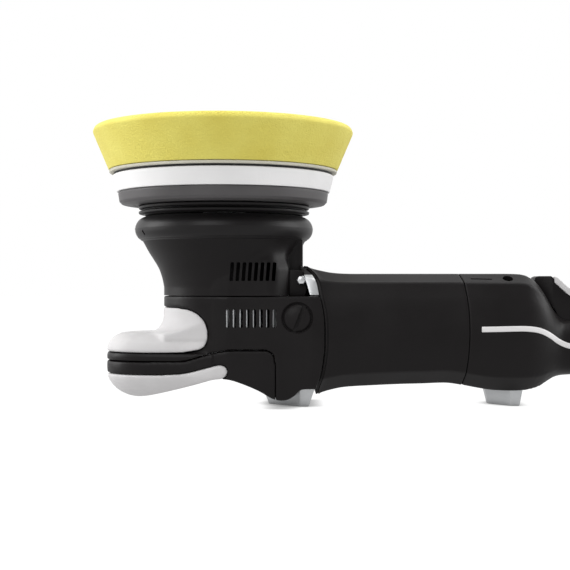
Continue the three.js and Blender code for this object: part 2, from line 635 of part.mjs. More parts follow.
function dustBoot() {
  const inside = 39.5;
  const rib = (z) => [[BOOT_R, z - 1.3], [BOOT_RIB_R, z - 0.6], [BOOT_RIB_R, z + 0.6], [BOOT_R, z + 1.3]];
  const profile = [[inside, 107.9], [BOOT_R, 107.9], ...rib(109.4), [BOOT_R, 111], [BOOT_RIB_R, 111.8], [BOOT_RIB_R, 113]];
  profile.push([BOOT_R, 113.3], [inside, 113.3], [inside, 107.9]);
  return turned(profile, FACETS);
}

add("shroud", shroud(), BLACK);
add("shroud_bead", bead(), RUBBER, 0.8);
add("dust_boot", dustBoot(), RUBBER, 0.8);

// ---- head cover, palm handle and feet ----------------------------------------------------------------
const HEAD_BOTTOM = [[-40, 16.8], [-3, 16.7], [4.9, 15.8], [11.5, 13.7], [18.6, 10.8], [22.6, 8.8], [27.4, 6], [32.4, 4.7], [37, 5.4], [40.6, 7.6], [44, 10.5], [62, 10.9]];
const GROOVE = [[-72, 25.7], [-23.4, 25.9], [-17.8, 26.8], [-12.2, 28.6], [-3.9, 30.6], [5, 32], [24, 32.4], [27.5, 31.4], [29.5, 28.5]];
const BAND_BASE = [[-72, 18.6], [-34.5, 18.6], [-17.8, 20.1], [-6, 23.4], [-1, 24.6]];
const PALM_PLAN = mirrored([
  [-67.2, 6], [-65.6, 12], [-62.4, 18.5], [-56.5, 24.4], [-47, 28.6], [-36, 30.8], [-20, 33.2], [-5, 36],
]);

const PALM_WALL = 2.4;

function headPlan(inset) {
  const half = [];
  for (let i = 0; i <= 7; i++) {
    const turn = Math.PI - (i * 1.42) / 7;
    half.push([(NECK_R - inset) * Math.cos(turn), (NECK_R - inset) * Math.sin(turn)]);
  }
  half.push([-4, SIDE_Y - inset * 0.98], [50, SIDE_Y - inset * 0.98], [60, 34.8 - inset * 0.98]);
  return mirrored(half.slice(1)).concat([[-NECK_R + inset, 0]]);
}

function headSolid(inset) {
  const lift = inset ? PALM_WALL : 0;
  const bottom = HEAD_BOTTOM.map(([x, z]) => [x, z + lift]);
  const profile = [...bottom, [62, SEAM_Z + lift], [-40, SEAM_Z + lift]];
  const head = common(planPrism(headPlan(inset).reverse(), 0, 70), sidePrism(profile, -FAR, FAR));
  return fuse(head, palmSolid(lift));
}

// The black core of the palm handle, between the two soft grips.
function palmSolid(inset) {
  const upper = [[-2, 30.3 - inset], [-72, 30.1 - inset]];
  const lower = BAND_BASE.map(([x, z]) => [x, z + inset]);
  const plan = grown(PALM_PLAN.slice().reverse(), -inset);
  return common(planPrism(plan, 0, 70), sidePrism([...lower, ...upper], -FAR, FAR));
}

const headShell = cut(headSolid(0), headSolid(WALL + 2));

const belowGroove = (shift) => {
  const line = GROOVE.map(([x, z]) => [x, z + shift]);
  const end = 29.8 + shift;
  return sidePrism([...line.reverse(), [-72, 0], [end, 0], [end, 24]], -FAR, FAR);
};

const UPPER_GRIP = [
  [-67, 30.4], [-23, 30.9], [-17.8, 31.6], [-12.2, 32.6], [-9.6, 33.7], [-7.6, 36.6], [-7.8, 43.5], [-10.8, 49.8],
  [-15.2, 53.3], [-23.4, 55], [-36, 55.3], [-36, 46.5], [-38, 43], [-42, 41.4], [-57, 41.4], [-62, 40], [-65.6, 36.4], [-67.4, 32],
];
const GRIP_CORE_R = 32.4;
const CORE_BASE_Z = 15.5; // the lower grip passes under the round core below this

function upperGrip() {
  const plan = fuse(planPrism(PALM_PLAN, 0, 70), planPrism(headPlan(0).reverse(), 0, 70));
  const grip = common(sidePrism(UPPER_GRIP, -FAR, FAR), plan);
  return cut(grip, turned(rodProfile(GRIP_CORE_R + GAP, 20, 70), FACETS));
}

const LOWER_GRIP = [
  [-66.6, 18.2], [-65.5, 13.3], [-60.3, 8.1], [-54.5, 5.5], [-48.7, 4.9], [-42.9, 5.8], [-37.1, 6.9], [-25.6, 9.8],
  [-14, 13.3], [-3, 16.4], [1.2, 16.8], [3.2, 18.6], [3.3, 21.4], [1.6, 23.8], [-1, 24.2], [-6, 23], [-17.8, 19.7], [-34.5, 18.2],
];

function lowerGrip() {
  const grip = common(sidePrism(LOWER_GRIP, -FAR, FAR), planPrism(PALM_PLAN, 0, 70));
  return cut(grip, turned(rodProfile(GRIP_CORE_R + GAP, CORE_BASE_Z, 70), FACETS));
}

function handleBase() {
  const core = turned(rodProfile(GRIP_CORE_R, CORE_BASE_Z + GAP, 70), FACETS);
  const recess = cut(sidePrism(grown(LOWER_GRIP, GAP), -FAR, FAR), core);
  return cut(common(headShell, belowGroove(-GAP / 2)), recess);
}

function headCover() {
  const recess = cut(sidePrism(grown(UPPER_GRIP, GAP), -FAR, FAR), turned(rodProfile(GRIP_CORE_R, 20, 70), FACETS));
  const mouth = box(-FAR, FAR, -FAR, FAR, SEAM_Z - 0.05, 70);
  const plugs = [crossBar(8, PLUG.x, PLUG.z, -FAR, -34.2), crossBar(8, PLUG.x, PLUG.z, 34.2, FAR)];
  const plugHoles = crossBar(4.4, PLUG.x, PLUG.z, -FAR, FAR, FEW);
  const slots = vents(2.8, 30.7, 44.7, 55.1, 0);
  const trimmed = cut(headShell, belowGroove(GAP / 2), recess, mouth, ...plugs, plugHoles, ...slots);
  return common(trimmed, ahead(FRONT_SEAM, GAP / 2));
}

const PLUG = { x: 41.8, z: 50.2, r: 7.6 };

function sidePlug(side) {
  const span = (a, b) => [Math.min(side * a, side * b), Math.max(side * a, side * b)];
  const head = crossBar(PLUG.r, PLUG.x, PLUG.z, ...span(34.5, 37.2), 28);
  const shank = crossBar(4, PLUG.x, PLUG.z, ...span(26, 35), 14);
  const slot = new THREE.BoxGeometry(1.5, 2.6, 18).rotateY(0.38).translate(PLUG.x, side * 37.2, PLUG.z);
  return cut(fuse(head, shank), solid(slot));
}

const CASE_BOLT = { x: 44.1, z: 70.9 };

function caseBolt(side) {
  const span = (a, b) => [Math.min(side * a, side * b), Math.max(side * a, side * b)];
  return fuse(crossBar(2.8, CASE_BOLT.x, CASE_BOLT.z, ...span(26.8, 29.8), 6), crossBar(1.4, CASE_BOLT.x, CASE_BOLT.z, ...span(22, 27), 12));
}

function gearHousing() {
  const tower = turned([[0, 20], [24, 20], [27, 23], [27, 60], [28.6, 64], [28.6, 78.1], [0, 78.1]], FACETS);
  const block = box(10, 46, -22, 22, 21, 62);
  const upperLug = box(40, 47, -26.4, 26.4, 66.4, 75.4);
  const rim = common(bodyOf(MOTOR_SECTIONS, 0), box(45.8, 80, -FAR, FAR, SEAM_Z + GAP, 90), ahead(FRONT_SEAM, GAP));
  const innerRim = common(bodyOf(MOTOR_SECTIONS, 4), box(43, 54, -FAR, FAR, 0, 70), ahead(FRONT_SEAM, 1));
  const tools = [
    turned(rodProfile(23.4, 31, 65.6), FACETS),
    turned(rodProfile(20.1, 65, 90), 32),
    turned(rodProfile(11.3, 21.8, 32), 2 * FEW),
    turnedOnMotor(rodProfile(13.1, 29.6, 60), FEW + 4),
    turnedOnMotor(rodProfile(10.5, 0, 40), FEW),
    turnedOnMotor(rodProfile(26.4, 40.4, 80), FACETS),
    crossBar(1.6, CASE_BOLT.x, CASE_BOLT.z, -27, -21, 12),
    crossBar(1.6, CASE_BOLT.x, CASE_BOLT.z, 21, 27, 12),
    crossBar(3.2, CASE_BOLT.x, CASE_BOLT.z, -40, -26.4, 12),
    crossBar(3.2, CASE_BOLT.x, CASE_BOLT.z, 26.4, 40, 12),
    crossBar(4.4, PLUG.x, PLUG.z, -34, -20, 14),
    crossBar(4.4, PLUG.x, PLUG.z, 20, 34, 14),
  ];
  return cut(fuse(tower, block, upperLug, rim, innerRim), ...tools);
}

// A foot: a sole outline and a larger outline where it meets the housing, cut to the housing above.
function foot(sole, top, topZ, above) {
  const block = loft([mirrored(sole).map(([x, y]) => [x, y, 0]), mirrored(top).map(([x, y]) => [x, y, topZ])]);
  return cut(block, above.translate([0, 0, -GAP]));
}

add("head_cover", headCover(), BLACK);
add("handle_base", handleBase(), BLACK);
add("upper_grip", upperGrip(), SOFT_GREY, 0.75);
add("lower_grip", lowerGrip(), SOFT_GREY, 0.75);
add("gear_housing", gearHousing(), ALLOY, 0.4, 1);
for (const [name, side] of [["left", 1], ["right", -1]]) {
  add(`side_plug_${name}`, sidePlug(side), BLACK);
  add(`case_bolt_${name}`, caseBolt(side), STEEL, 0.3, 1);
}
const headAbove = fuse(headSolid(0), bodyOf(MOTOR_SECTIONS, 0));
add("front_foot", foot([[25.9, 4], [44, 20.5], [48.6, 20.5]], [[22.2, 5], [43.4, 23.6], [51.8, 23.6]], 10.6, headAbove), ALLOY, 0.45, 1);
const shellAbove = bodyOf(HANDLE_SECTIONS, 0);
add("rear_foot", foot([[151.9, 3], [162.3, 16], [167.6, 16]], [[149.6, 4], [162, 18], [169, 18]], 10, shellAbove), ALLOY, 0.45, 1);

export default group;
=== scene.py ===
"""Looks of a corded dual action polisher that rests on its feet with the pad up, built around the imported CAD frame.

Shapes are written in millimetres from the crank axis and moved onto the frame by ORIGIN."""
import bisect
import json
from math import atan2, ceil, copysign, cos, degrees, dist, exp, hypot, pi, radians, sin, tan

import bmesh
import bpy
from mathutils import Matrix, Vector, noise


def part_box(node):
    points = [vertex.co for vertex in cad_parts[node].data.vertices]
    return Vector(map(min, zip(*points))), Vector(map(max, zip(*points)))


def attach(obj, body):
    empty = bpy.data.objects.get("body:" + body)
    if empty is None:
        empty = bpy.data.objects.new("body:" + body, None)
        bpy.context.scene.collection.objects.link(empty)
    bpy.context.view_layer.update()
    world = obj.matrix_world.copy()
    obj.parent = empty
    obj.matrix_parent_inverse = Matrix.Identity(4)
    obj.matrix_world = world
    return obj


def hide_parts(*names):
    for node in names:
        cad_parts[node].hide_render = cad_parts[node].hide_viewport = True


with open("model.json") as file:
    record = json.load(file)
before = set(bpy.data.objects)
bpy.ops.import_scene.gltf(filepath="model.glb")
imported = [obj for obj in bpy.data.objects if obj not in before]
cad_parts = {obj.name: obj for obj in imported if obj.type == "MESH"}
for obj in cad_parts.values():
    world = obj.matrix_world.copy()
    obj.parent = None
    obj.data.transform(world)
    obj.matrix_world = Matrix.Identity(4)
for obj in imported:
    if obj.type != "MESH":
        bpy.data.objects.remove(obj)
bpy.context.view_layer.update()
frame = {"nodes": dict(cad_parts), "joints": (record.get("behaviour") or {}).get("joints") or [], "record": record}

MM = 0.001
JOINTS = {j["name"]: j for j in frame["joints"]}
NODES = frame["nodes"]
ORIGIN = Vector((JOINTS["crank_spin"]["pos_m"][0], 0, 0))
PAD_Y = JOINTS["pad_spin"]["pos_m"][1] / MM
MOTOR_Z = JOINTS["armature_spin"]["pos_m"][2] / MM
SCENE = bpy.context.scene


def low(node):
    """Lowest corner of a CAD node, in millimetres from the crank axis."""
    return (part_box(node)[0] - ORIGIN) / MM


def high(node):
    return (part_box(node)[1] - ORIGIN) / MM


def middle(node):
    """Centre x and z of a CAD node, and half its length along x."""
    a, b = low(node), high(node)
    return (a.x + b.x) / 2, (a.z + b.z) / 2, (b.x - a.x) / 2


def in_scene(name, data):
    """A new object for the data, linked into the scene."""
    thing = bpy.data.objects.new(name, data)
    SCENE.collection.objects.link(thing)
    return thing


def share(t):
    """A number kept between 0 and 1."""
    return min(max(t, 0), 1)


def eased(t):
    return t * t * (3 - 2 * t)


# ---- camera, floor and light ----
CAMERA_AT = (35.1, -680, 68.2)
VIEW_WIDTH = 329.5  # millimetres seen across the picture in the machine's middle plane

camera_data = bpy.data.cameras.new("camera")
camera = in_scene("camera", camera_data)
camera_data.sensor_width = 36
camera_data.lens = 36 * -CAMERA_AT[1] / VIEW_WIDTH
camera_data.clip_start = 0.05
camera.location = Vector(CAMERA_AT) * MM + ORIGIN
camera.rotation_euler = Matrix.Rotation(pi / 2, 3, "X").to_euler()
SCENE.camera = camera
SCENE.view_settings.view_transform = "Standard"
SCENE.view_settings.look = "None"
SCENE.view_settings.exposure = 0


# ---- materials ----
def added(tree, kind, **values):
    """A new node, with unlinked inputs set by name."""
    node = tree.nodes.new("ShaderNode" + kind)
    for key, value in values.items():
        node.inputs[key.replace("_", " ")].default_value = value
    return node


def link(source, node, socket):
    node.id_data.links.new(source, node.inputs[socket])


def ramp(source, stops):
    node = added(source.id_data, "ValToRGB")
    elements = node.color_ramp.elements
    while len(elements) < len(stops):
        elements.new(0.5)
    for element, (position, color) in zip(elements, stops):
        element.position = position
        element.color = (*color, 1) if len(color) == 3 else color
    link(source, node, "Fac")
    return node.outputs["Color"]


def grey(value):
    return (value, value, value)


def texture(tree, kind, scale, detail=2, stretch=None, **settings):
    vector = added(tree, "TexCoord").outputs["Object"]
    if stretch:
        mapping = added(tree, "Mapping", Scale=stretch)
        link(vector, mapping, "Vector")
        vector = mapping.outputs["Vector"]
    node = added(tree, "Tex" + kind, Scale=scale)
    if "Detail" in node.inputs:
        node.inputs["Detail"].default_value = detail
    for key, value in settings.items():
        setattr(node, key, value)
    link(vector, node, "Vector")
    return node


def bumped(height, strength, distance, after=None):
    node = added(height.id_data, "Bump", Strength=strength, Distance=distance)
    link(height, node, "Height")
    if after is not None:
        link(after, node, "Normal")
    return node.outputs["Normal"]


def mixed(factor, a, b):
    node = added(factor.id_data, "Mix")
    node.data_type = "RGBA"
    for socket, value in (("Factor_Float", factor), ("A_Color", a), ("B_Color", b)):
        target = next(s for s in node.inputs if s.identifier == socket)
        if hasattr(value, "is_linked"):
            node.id_data.links.new(value, target)
        elif isinstance(value, (int, float)):
            target.default_value = value
        else:
            target.default_value = (*value, 1)
    return next(s for s in node.outputs if s.identifier == "Result_Color")


def shader(name, roughness=0.5, metallic=0, specular=0.5, **fixed):
    material = bpy.data.materials.new(name)
    material.use_nodes = True
    tree = material.node_tree
    principled = tree.nodes["Principled BSDF"]
    principled.inputs["Roughness"].default_value = roughness
    principled.inputs["Metallic"].default_value = metallic
    principled.inputs["Specular IOR Level"].default_value = specular
    for key, value in fixed.items():
        principled.inputs[key.replace("_", " ")].default_value = value
    return material, tree, principled


def clouded(tree, principled, scale, dark, light):
    clouds = texture(tree, "Noise", scale, 4)
    link(ramp(clouds.outputs["Fac"], [(0.3, dark), (0.7, light)]), principled, "Base Color")
    return clouds


def moulded_plastic(name, dark, light, roughness, grain=900, depth=0.00006, edge=0, specular=0.45):
    """Moulded plastic: fine spark-eroded grain, faint cloudy gloss changes and slightly polished edges."""
    material, tree, principled = shader(name, roughness, specular=specular)
    clouds = texture(tree, "Noise", 35, 3)
    color = ramp(clouds.outputs["Fac"], [(0.3, dark), (0.7, light)])
    if edge:
        geometry = added(tree, "NewGeometry")
        worn = ramp(geometry.outputs["Pointiness"], [(0.52, grey(0)), (0.6, grey(edge))])
        color = mixed(worn, color, tuple(min(1, c * 3 + 0.02) for c in light))
    link(color, principled, "Base Color")
    spread = 0.07
    rough = ramp(clouds.outputs["Fac"], [(0.3, grey(roughness - spread)), (0.7, grey(roughness + spread))])
    link(rough, principled, "Roughness")
    fine = texture(tree, "Noise", grain, 2)
    normal = bumped(fine.outputs["Fac"], 0.5, depth)
    link(normal, principled, "Normal")
    return material


def rubber(name, dark, light, roughness):
    material, tree, principled = shader(name, roughness, specular=0.22, Sheen_Weight=0.02)
    clouded(tree, principled, 60, dark, light)
    fine = texture(tree, "Noise", 1400, 3)
    link(bumped(fine.outputs["Fac"], 0.6, 0.00008), principled, "Normal")
    return material


def foam(name, deep, mid, pale):
    """Open-cell foam: cells of two sizes, with darker pores and a soft velvety edge."""
    material, tree, principled = shader(name, 0.95, specular=0.1, Sheen_Weight=0.1, Sheen_Roughness=0.6)
    cells = texture(tree, "Voronoi", 1250)
    coarse = texture(tree, "Voronoi", 520)
    clouds = texture(tree, "Noise", 55, 4)
    base = ramp(clouds.outputs["Fac"], [(0.25, mid), (0.75, pale)])
    pores = ramp(cells.outputs["Distance"], [(0.12, grey(0.5)), (0.4, grey(0))])
    color = mixed(pores, base, deep)
    holes = ramp(coarse.outputs["Distance"], [(0.1, grey(0.45)), (0.26, grey(0))])
    color = mixed(holes, color, deep)
    link(color, principled, "Base Color")
    normal = bumped(cells.outputs["Distance"], 0.45, 0.0004)
    link(bumped(coarse.outputs["Distance"], 0.3, 0.0005, normal), principled, "Normal")
    return material


def napped(name, dark, light, scale):
    """Hook or loop tape: short fibres, seen edge on as speckles."""
    material, tree, principled = shader(name, 0.95, specular=0.1, Sheen_Weight=0.3)
    specks = texture(tree, "Voronoi", scale)
    hairs = texture(tree, "Noise", scale * 0.6, 4, (1, 1, 2.5))
    color = mixed(ramp(specks.outputs["Distance"], [(0.2, grey(1)), (0.55, grey(0))]), dark, light)
    shaded = mixed(ramp(hairs.outputs["Fac"], [(0.35, grey(0.5)), (0.6, grey(0))]), color, dark)
    link(shaded, principled, "Base Color")
    link(bumped(specks.outputs["Distance"], 0.8, 0.0004), principled, "Normal")
    return material


def metal(name, dark, light, roughness, blast=2200, depth=0.00005, stretch=None):
    material, tree, principled = shader(name, roughness, 1)
    clouds = clouded(tree, principled, 45, dark, light)
    rough = ramp(clouds.outputs["Fac"], [(0.3, grey(roughness - 0.06)), (0.7, grey(roughness + 0.08))])
    link(rough, principled, "Roughness")
    fine = texture(tree, "Noise", blast, 3, stretch)
    link(bumped(fine.outputs["Fac"], 0.5, depth), principled, "Normal")
    return material


def wound_wire(name):
    material, tree, principled = shader(name, 0.35, 0.9)
    wires = texture(tree, "Wave", 900, 1, bands_direction="X")
    wires.inputs["Distortion"].default_value = 1.5
    color = ramp(wires.outputs["Fac"], [(0.2, (0.25, 0.08, 0.03)), (0.7, (0.78, 0.33, 0.13))])
    link(color, principled, "Base Color")
    link(bumped(wires.outputs["Fac"], 0.8, 0.0004), principled, "Normal")
    return material


def stacked_sheets(name):
    material, tree, principled = shader(name, 0.45, 0.95)
    sheets = texture(tree, "Wave", 450, 1, bands_direction="X")
    color = ramp(sheets.outputs["Fac"], [(0.3, grey(0.12)), (0.6, grey(0.34))])
    link(color, principled, "Base Color")
    link(bumped(sheets.outputs["Fac"], 0.6, 0.0002), principled, "Normal")
    return material


MATERIALS = {
    "foam": foam("foam", (0.38, 0.29, 0.04), (0.65, 0.56, 0.105), (0.72, 0.65, 0.15)),
    "loop_fabric": napped("loop_fabric", (0.6, 0.58, 0.48), (0.86, 0.84, 0.76), 1500),
    "hook_fabric": napped("hook_fabric", (0.03, 0.03, 0.032), (0.5, 0.5, 0.48), 1100),
    "plate_foam": moulded_plastic("plate_foam", (0.74, 0.735, 0.735), (0.8, 0.795, 0.795), 0.62, 700, 0.00012,
        specular=0.3),
    "plate_plastic": moulded_plastic("plate_plastic", (0.062, 0.059, 0.06), (0.082, 0.078, 0.08), 0.5, 1100, 0.00008,
        specular=0.3),
    "bright_steel": metal("bright_steel", (0.62, 0.63, 0.65), (0.78, 0.79, 0.8), 0.26, 600, 0.00003, (1, 1, 6)),
    "gear_steel": metal("gear_steel", (0.3, 0.3, 0.31), (0.42, 0.42, 0.43), 0.36),
    "core_steel": stacked_sheets("core_steel"),
    "copper": wound_wire("copper"),
    "brass": metal("brass", (0.6, 0.42, 0.14), (0.72, 0.54, 0.22), 0.32),
    "carbon": moulded_plastic("carbon", (0.02, 0.02, 0.02), (0.04, 0.04, 0.04), 0.5),
    "black_plastic": moulded_plastic("black_plastic", (0.0066, 0.0056, 0.0058), (0.0084, 0.0072, 0.0075), 0.44,
        edge=0.1, specular=0.16),
    "control_plastic": moulded_plastic("control_plastic", (0.03, 0.03, 0.032), (0.045, 0.045, 0.047), 0.35),
    "black_rubber": rubber("black_rubber", (0.0075, 0.0066, 0.007), (0.0095, 0.0084, 0.0088), 0.42),
    "light_grip": rubber("light_grip", (0.54, 0.53, 0.533), (0.59, 0.58, 0.583), 0.6),
    "stripe_white": moulded_plastic("stripe_white", (0.68, 0.67, 0.67), (0.74, 0.73, 0.73), 0.35, 400, 0.00003),
    "cast_alloy": metal("cast_alloy", (0.5, 0.51, 0.52), (0.62, 0.63, 0.64), 0.42, 1800, 0.00009),
}
for node_name, node in NODES.items():
    slot = next(s["material_slot"] for s in frame["record"]["subparts"] if s["node"] == node_name)
    for index in range(len(node.material_slots)):
        node.material_slots[index].material = MATERIALS[slot]


# ---- mesh helpers ----
def mesh_object(name, bm):
    mesh = bpy.data.meshes.new(name)
    bm.to_mesh(mesh)
    bm.free()
    return in_scene(name, mesh)


def finish_mesh(name, bm):
    bmesh.ops.remove_doubles(bm, verts=bm.verts, dist=1e-4)
    bmesh.ops.recalc_face_normals(bm, faces=bm.faces)
    bmesh.ops.scale(bm, vec=(MM, MM, MM), verts=bm.verts)
    bmesh.ops.translate(bm, vec=ORIGIN, verts=bm.verts)
    return mesh_object(name, bm)


def grid(name, rows, wrap=True, caps=True):
    """Rows of points joined into a skin; wrap closes each row on itself and caps fill the two ends."""
    bm = bmesh.new()
    made = [[bm.verts.new(p) for p in row] for row in rows]
    count = len(rows[0])
    for a, b in zip(made, made[1:]):
        for i in range(count if wrap else count - 1):
            j = (i + 1) % count
            bm.faces.new((a[i], a[j], b[j], b[i]))
    if caps:
        bm.faces.new(made[0][::-1])
        bm.faces.new(made[-1])
    return finish_mesh(name, bm)


def turned(name, profile, centre=(0, 0), steps=144):
    """A closed (radius, height) profile turned about +Z."""
    bm = bmesh.new()
    rings = []
    for i in range(steps):
        turn = 2 * pi * i / steps
        c, s = cos(turn), sin(turn)
        rings.append([bm.verts.new((centre[0] + r * c, centre[1] + r * s, z)) for r, z in profile])
    count = len(profile)
    for i in range(steps):
        a, b = rings[i], rings[(i + 1) % steps]
        for k in range(count):
            m = (k + 1) % count
            bm.faces.new((a[k], b[k], b[m], a[m]))
    return finish_mesh(name, bm)


def turned_on(name, profile, point, direction, steps=64):
    """A (radius, distance) profile from axis to axis, turned about any direction through a point."""
    bm = bmesh.new()
    rings = []
    for i in range(steps):
        turn = 2 * pi * i / steps
        rings.append([bm.verts.new((r * cos(turn), r * sin(turn), h)) for r, h in profile])
    for i in range(steps):
        a, b = rings[i], rings[(i + 1) % steps]
        for k in range(len(profile) - 1):
            bm.faces.new((a[k], b[k], b[k + 1], a[k + 1]))
    bmesh.ops.remove_doubles(bm, verts=bm.verts, dist=1e-5)
    bmesh.ops.dissolve_degenerate(bm, edges=bm.edges, dist=1e-5)
    turn = Vector((0, 0, 1)).rotation_difference(Vector(direction)).to_matrix().to_4x4()
    bmesh.ops.transform(bm, matrix=Matrix.Translation(point) @ turn, verts=bm.verts)
    return finish_mesh(name, bm)


def rod(name, radius, start, end, point=(0, 0, 0), direction=(0, 0, 1), steps=96):
    return turned_on(name, [(0, start), (radius, start), (radius, end), (0, end)], point, direction, steps)


def prism(name, outline, axis, start, end):
    """An outline run along an axis: x takes (y, z) points, y takes (x, z) and z takes (x, y)."""
    def place(p, along):
        return {"x": (along, p[0], p[1]), "y": (p[0], along, p[1]), "z": (p[0], p[1], along)}[axis]
    bm = bmesh.new()
    near = [bm.verts.new(place(p, start)) for p in outline]
    far = [bm.verts.new(place(p, end)) for p in outline]
    count = len(outline)
    bm.faces.new(near)
    bm.faces.new(far[::-1])
    for i in range(count):
        j = (i + 1) % count
        bm.faces.new((near[i], far[i], far[j], near[j]))
    return finish_mesh(name, bm)


def through(name, outline):
    """An (x, z) outline cut through the whole width of the machine."""
    return prism(name, outline, "y", -60, 60)


def box(name, x0, x1, y0, y1, z0, z1):
    return prism(name, [(x0, y0), (x1, y0), (x1, y1), (x0, y1)], "z", z0, z1)


def curve(points, steps=8):
    """A smooth line through the points."""
    result = []
    padded = [points[0], *points, points[-1]]
    for a, b, c, d in zip(padded, padded[1:], padded[2:], padded[3:]):
        for i in range(steps):
            t = i / steps
            result.append(tuple(
                0.5 * (2 * b[k] + (c[k] - a[k]) * t + (2 * a[k] - 5 * b[k] + 4 * c[k] - d[k]) * t * t
                       + (3 * b[k] - a[k] - 3 * c[k] + d[k]) * t ** 3)
                for k in range(len(b))))
    result.append(tuple(points[-1]))
    return result


def filleted(points, radius, steps=6, closed=True):
    """Corners of an outline rounded; radius is one number or one per point."""
    count = len(points)
    radii = radius if isinstance(radius, (list, tuple)) else [radius] * count
    result = []
    for i, (x, y) in enumerate(points):
        if radii[i] <= 0 or (not closed and i in (0, count - 1)):
            result.append((x, y))
            continue
        here = Vector((x, y))
        before = Vector(points[i - 1]) - here
        after = Vector(points[(i + 1) % count]) - here
        angle = before.angle(after, pi)
        if angle > 3.08:
            result.append((x, y))
            continue
        reach = min(radii[i] / tan(angle / 2), before.length * 0.49, after.length * 0.49)
        a = here + before.normalized() * reach
        b = here + after.normalized() * reach
        for k in range(steps + 1):
            t = k / steps
            p = a * (1 - t) ** 2 + here * 2 * t * (1 - t) + b * t * t
            result.append((p.x, p.y))
    return result


def line_at(line, at):
    """Straight-line value on a sorted list of (position, value)."""
    keys = [p[0] for p in line]
    i = min(max(bisect.bisect_right(keys, at), 1), len(line) - 1)
    (a, va), (b, vb) = line[i - 1], line[i]
    t = share((at - a) / (b - a))
    return va + (vb - va) * t


def grown(points, d):
    """An anticlockwise outline moved outwards by d."""
    count = len(points)
    result = []
    for i, (x, y) in enumerate(points):
        before = Vector((y - points[i - 1][1], points[i - 1][0] - x))
        nxt = points[(i + 1) % count]
        after = Vector((nxt[1] - y, x - nxt[0]))
        mitre = (before.normalized() + after.normalized()).normalized()
        reach = d / max(mitre.dot(after.normalized()), 0.6)
        result.append((x + mitre.x * reach, y + mitre.y * reach))
    return result


def mirrored(half):
    return list(half) + [(a, -b) for a, b in reversed(half)]


def apply_modifiers(thing):
    bpy.context.view_layer.update()
    depsgraph = bpy.context.evaluated_depsgraph_get()
    mesh = bpy.data.meshes.new_from_object(thing.evaluated_get(depsgraph))
    old = thing.data
    thing.modifiers.clear()
    thing.data = mesh
    bpy.data.meshes.remove(old)
    return thing


def modified(thing, kind, **settings):
    modifier = thing.modifiers.new(kind, kind)
    for key, value in settings.items():
        setattr(modifier, key, value)


def combine(thing, *others, op="DIFFERENCE"):
    """Booleans, in turn, removing the tools."""
    for other in others:
        modified(thing, "BOOLEAN", operation=op, solver="EXACT", object=other)
        apply_modifiers(thing)
        bpy.data.objects.remove(other)
    return thing


def meet(thing, other):
    return combine(thing, other, op="INTERSECT")


def soften(thing, voxel=0.7, rounds=4):
    """Rounds every edge: a voxel skin, relaxed a few times."""
    modified(thing, "REMESH", mode="VOXEL", voxel_size=voxel * MM, use_smooth_shade=True)
    modified(thing, "SMOOTH", factor=0.5, iterations=rounds)
    return apply_modifiers(thing)


def bevelled(thing, width, segments=3, angle=35):
    modified(thing, "BEVEL", width=width * MM, segments=segments, limit_method="ANGLE",
             angle_limit=radians(angle), harden_normals=False)
    return apply_modifiers(thing)


def placed(thing, point, turn, first=None):
    """A small cutter made at the zero point, turned and then moved to a point."""
    thing.data.transform(Matrix.Translation(-ORIGIN))
    if first is not None:
        thing.data.transform(first)
    thing.data.transform(Matrix.Translation(ORIGIN + point * MM) @ turn)
    return thing


def thickened(thing, wall):
    modified(thing, "SOLIDIFY", thickness=wall * MM, offset=-1, use_even_offset=True)
    return apply_modifiers(thing)


def joined(name, *things):
    """Several meshes in one object, without booleans."""
    bm = bmesh.new()
    for thing in things:
        bm.from_mesh(thing.data)
        bpy.data.objects.remove(thing)
    return mesh_object(name, bm)


def piece(thing, body, slot, *nodes, angle=32):
    """Shading, material, body, slot and the CAD nodes that a finished piece stands for."""
    mesh = thing.data
    for polygon in mesh.polygons:
        polygon.use_smooth = True
    mesh.set_sharp_from_angle(angle=radians(angle))
    mesh.materials.clear()
    mesh.materials.append(MATERIALS[slot])
    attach(thing, body)
    if nodes:
        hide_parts(*nodes)
    return thing


def casing(thing, *nodes, angle=32):
    return piece(thing, "machine", "black_plastic", *nodes, angle=angle)


# ---- pad and backing plate ----
SIDES = ((1, "left"), (-1, "right"))
PAD_AXIS = (0, PAD_Y)
PAD_R = middle("foam_pad")[2] - 0.6
PAD_BASE, PAD_FACE = low("foam_pad").z, high("foam_pad").z
PAD_BASE_R = 65
HOLE_R = 11


def ruffle(thing, size, amount):
    """Very small unevenness, so that cut foam isn't a perfect cone."""
    centre = Vector((ORIGIN.x, PAD_Y * MM, 0))
    for vertex in thing.data.vertices:
        away = vertex.co - centre
        away.z = 0
        wave = noise.noise(vertex.co / (size * MM)) * 0.7 + noise.noise(vertex.co / (size * 0.3 * MM)) * 0.3
        vertex.co -= away.normalized() * abs(wave) * amount * MM
    return thing


def dense(points, longest=1.2):
    """An outline with no side longer than a limit, for pieces whose skin is moved afterwards."""
    result = []
    for i, p in enumerate(points):
        q = points[(i + 1) % len(points)]
        parts = max(1, ceil(dist(p, q) / longest))
        result += [(p[0] + (q[0] - p[0]) * k / parts, p[1] + (q[1] - p[1]) * k / parts) for k in range(parts)]
    return result


pad_profile = filleted(
    [(HOLE_R, PAD_BASE), (PAD_BASE_R, PAD_BASE), (PAD_R - 0.6, PAD_FACE - 4.6), (PAD_R, PAD_FACE - 3),
     (PAD_R - 1.4, PAD_FACE), (HOLE_R, PAD_FACE)],
    [0.8, 0.7, 4, 2.2, 4.5, 2])
foam_pad = ruffle(turned("foam_pad_skin", dense(pad_profile, 1.6), PAD_AXIS, 360), 6, 0.22)
piece(foam_pad, "pad", "foam", "foam_pad", angle=60)

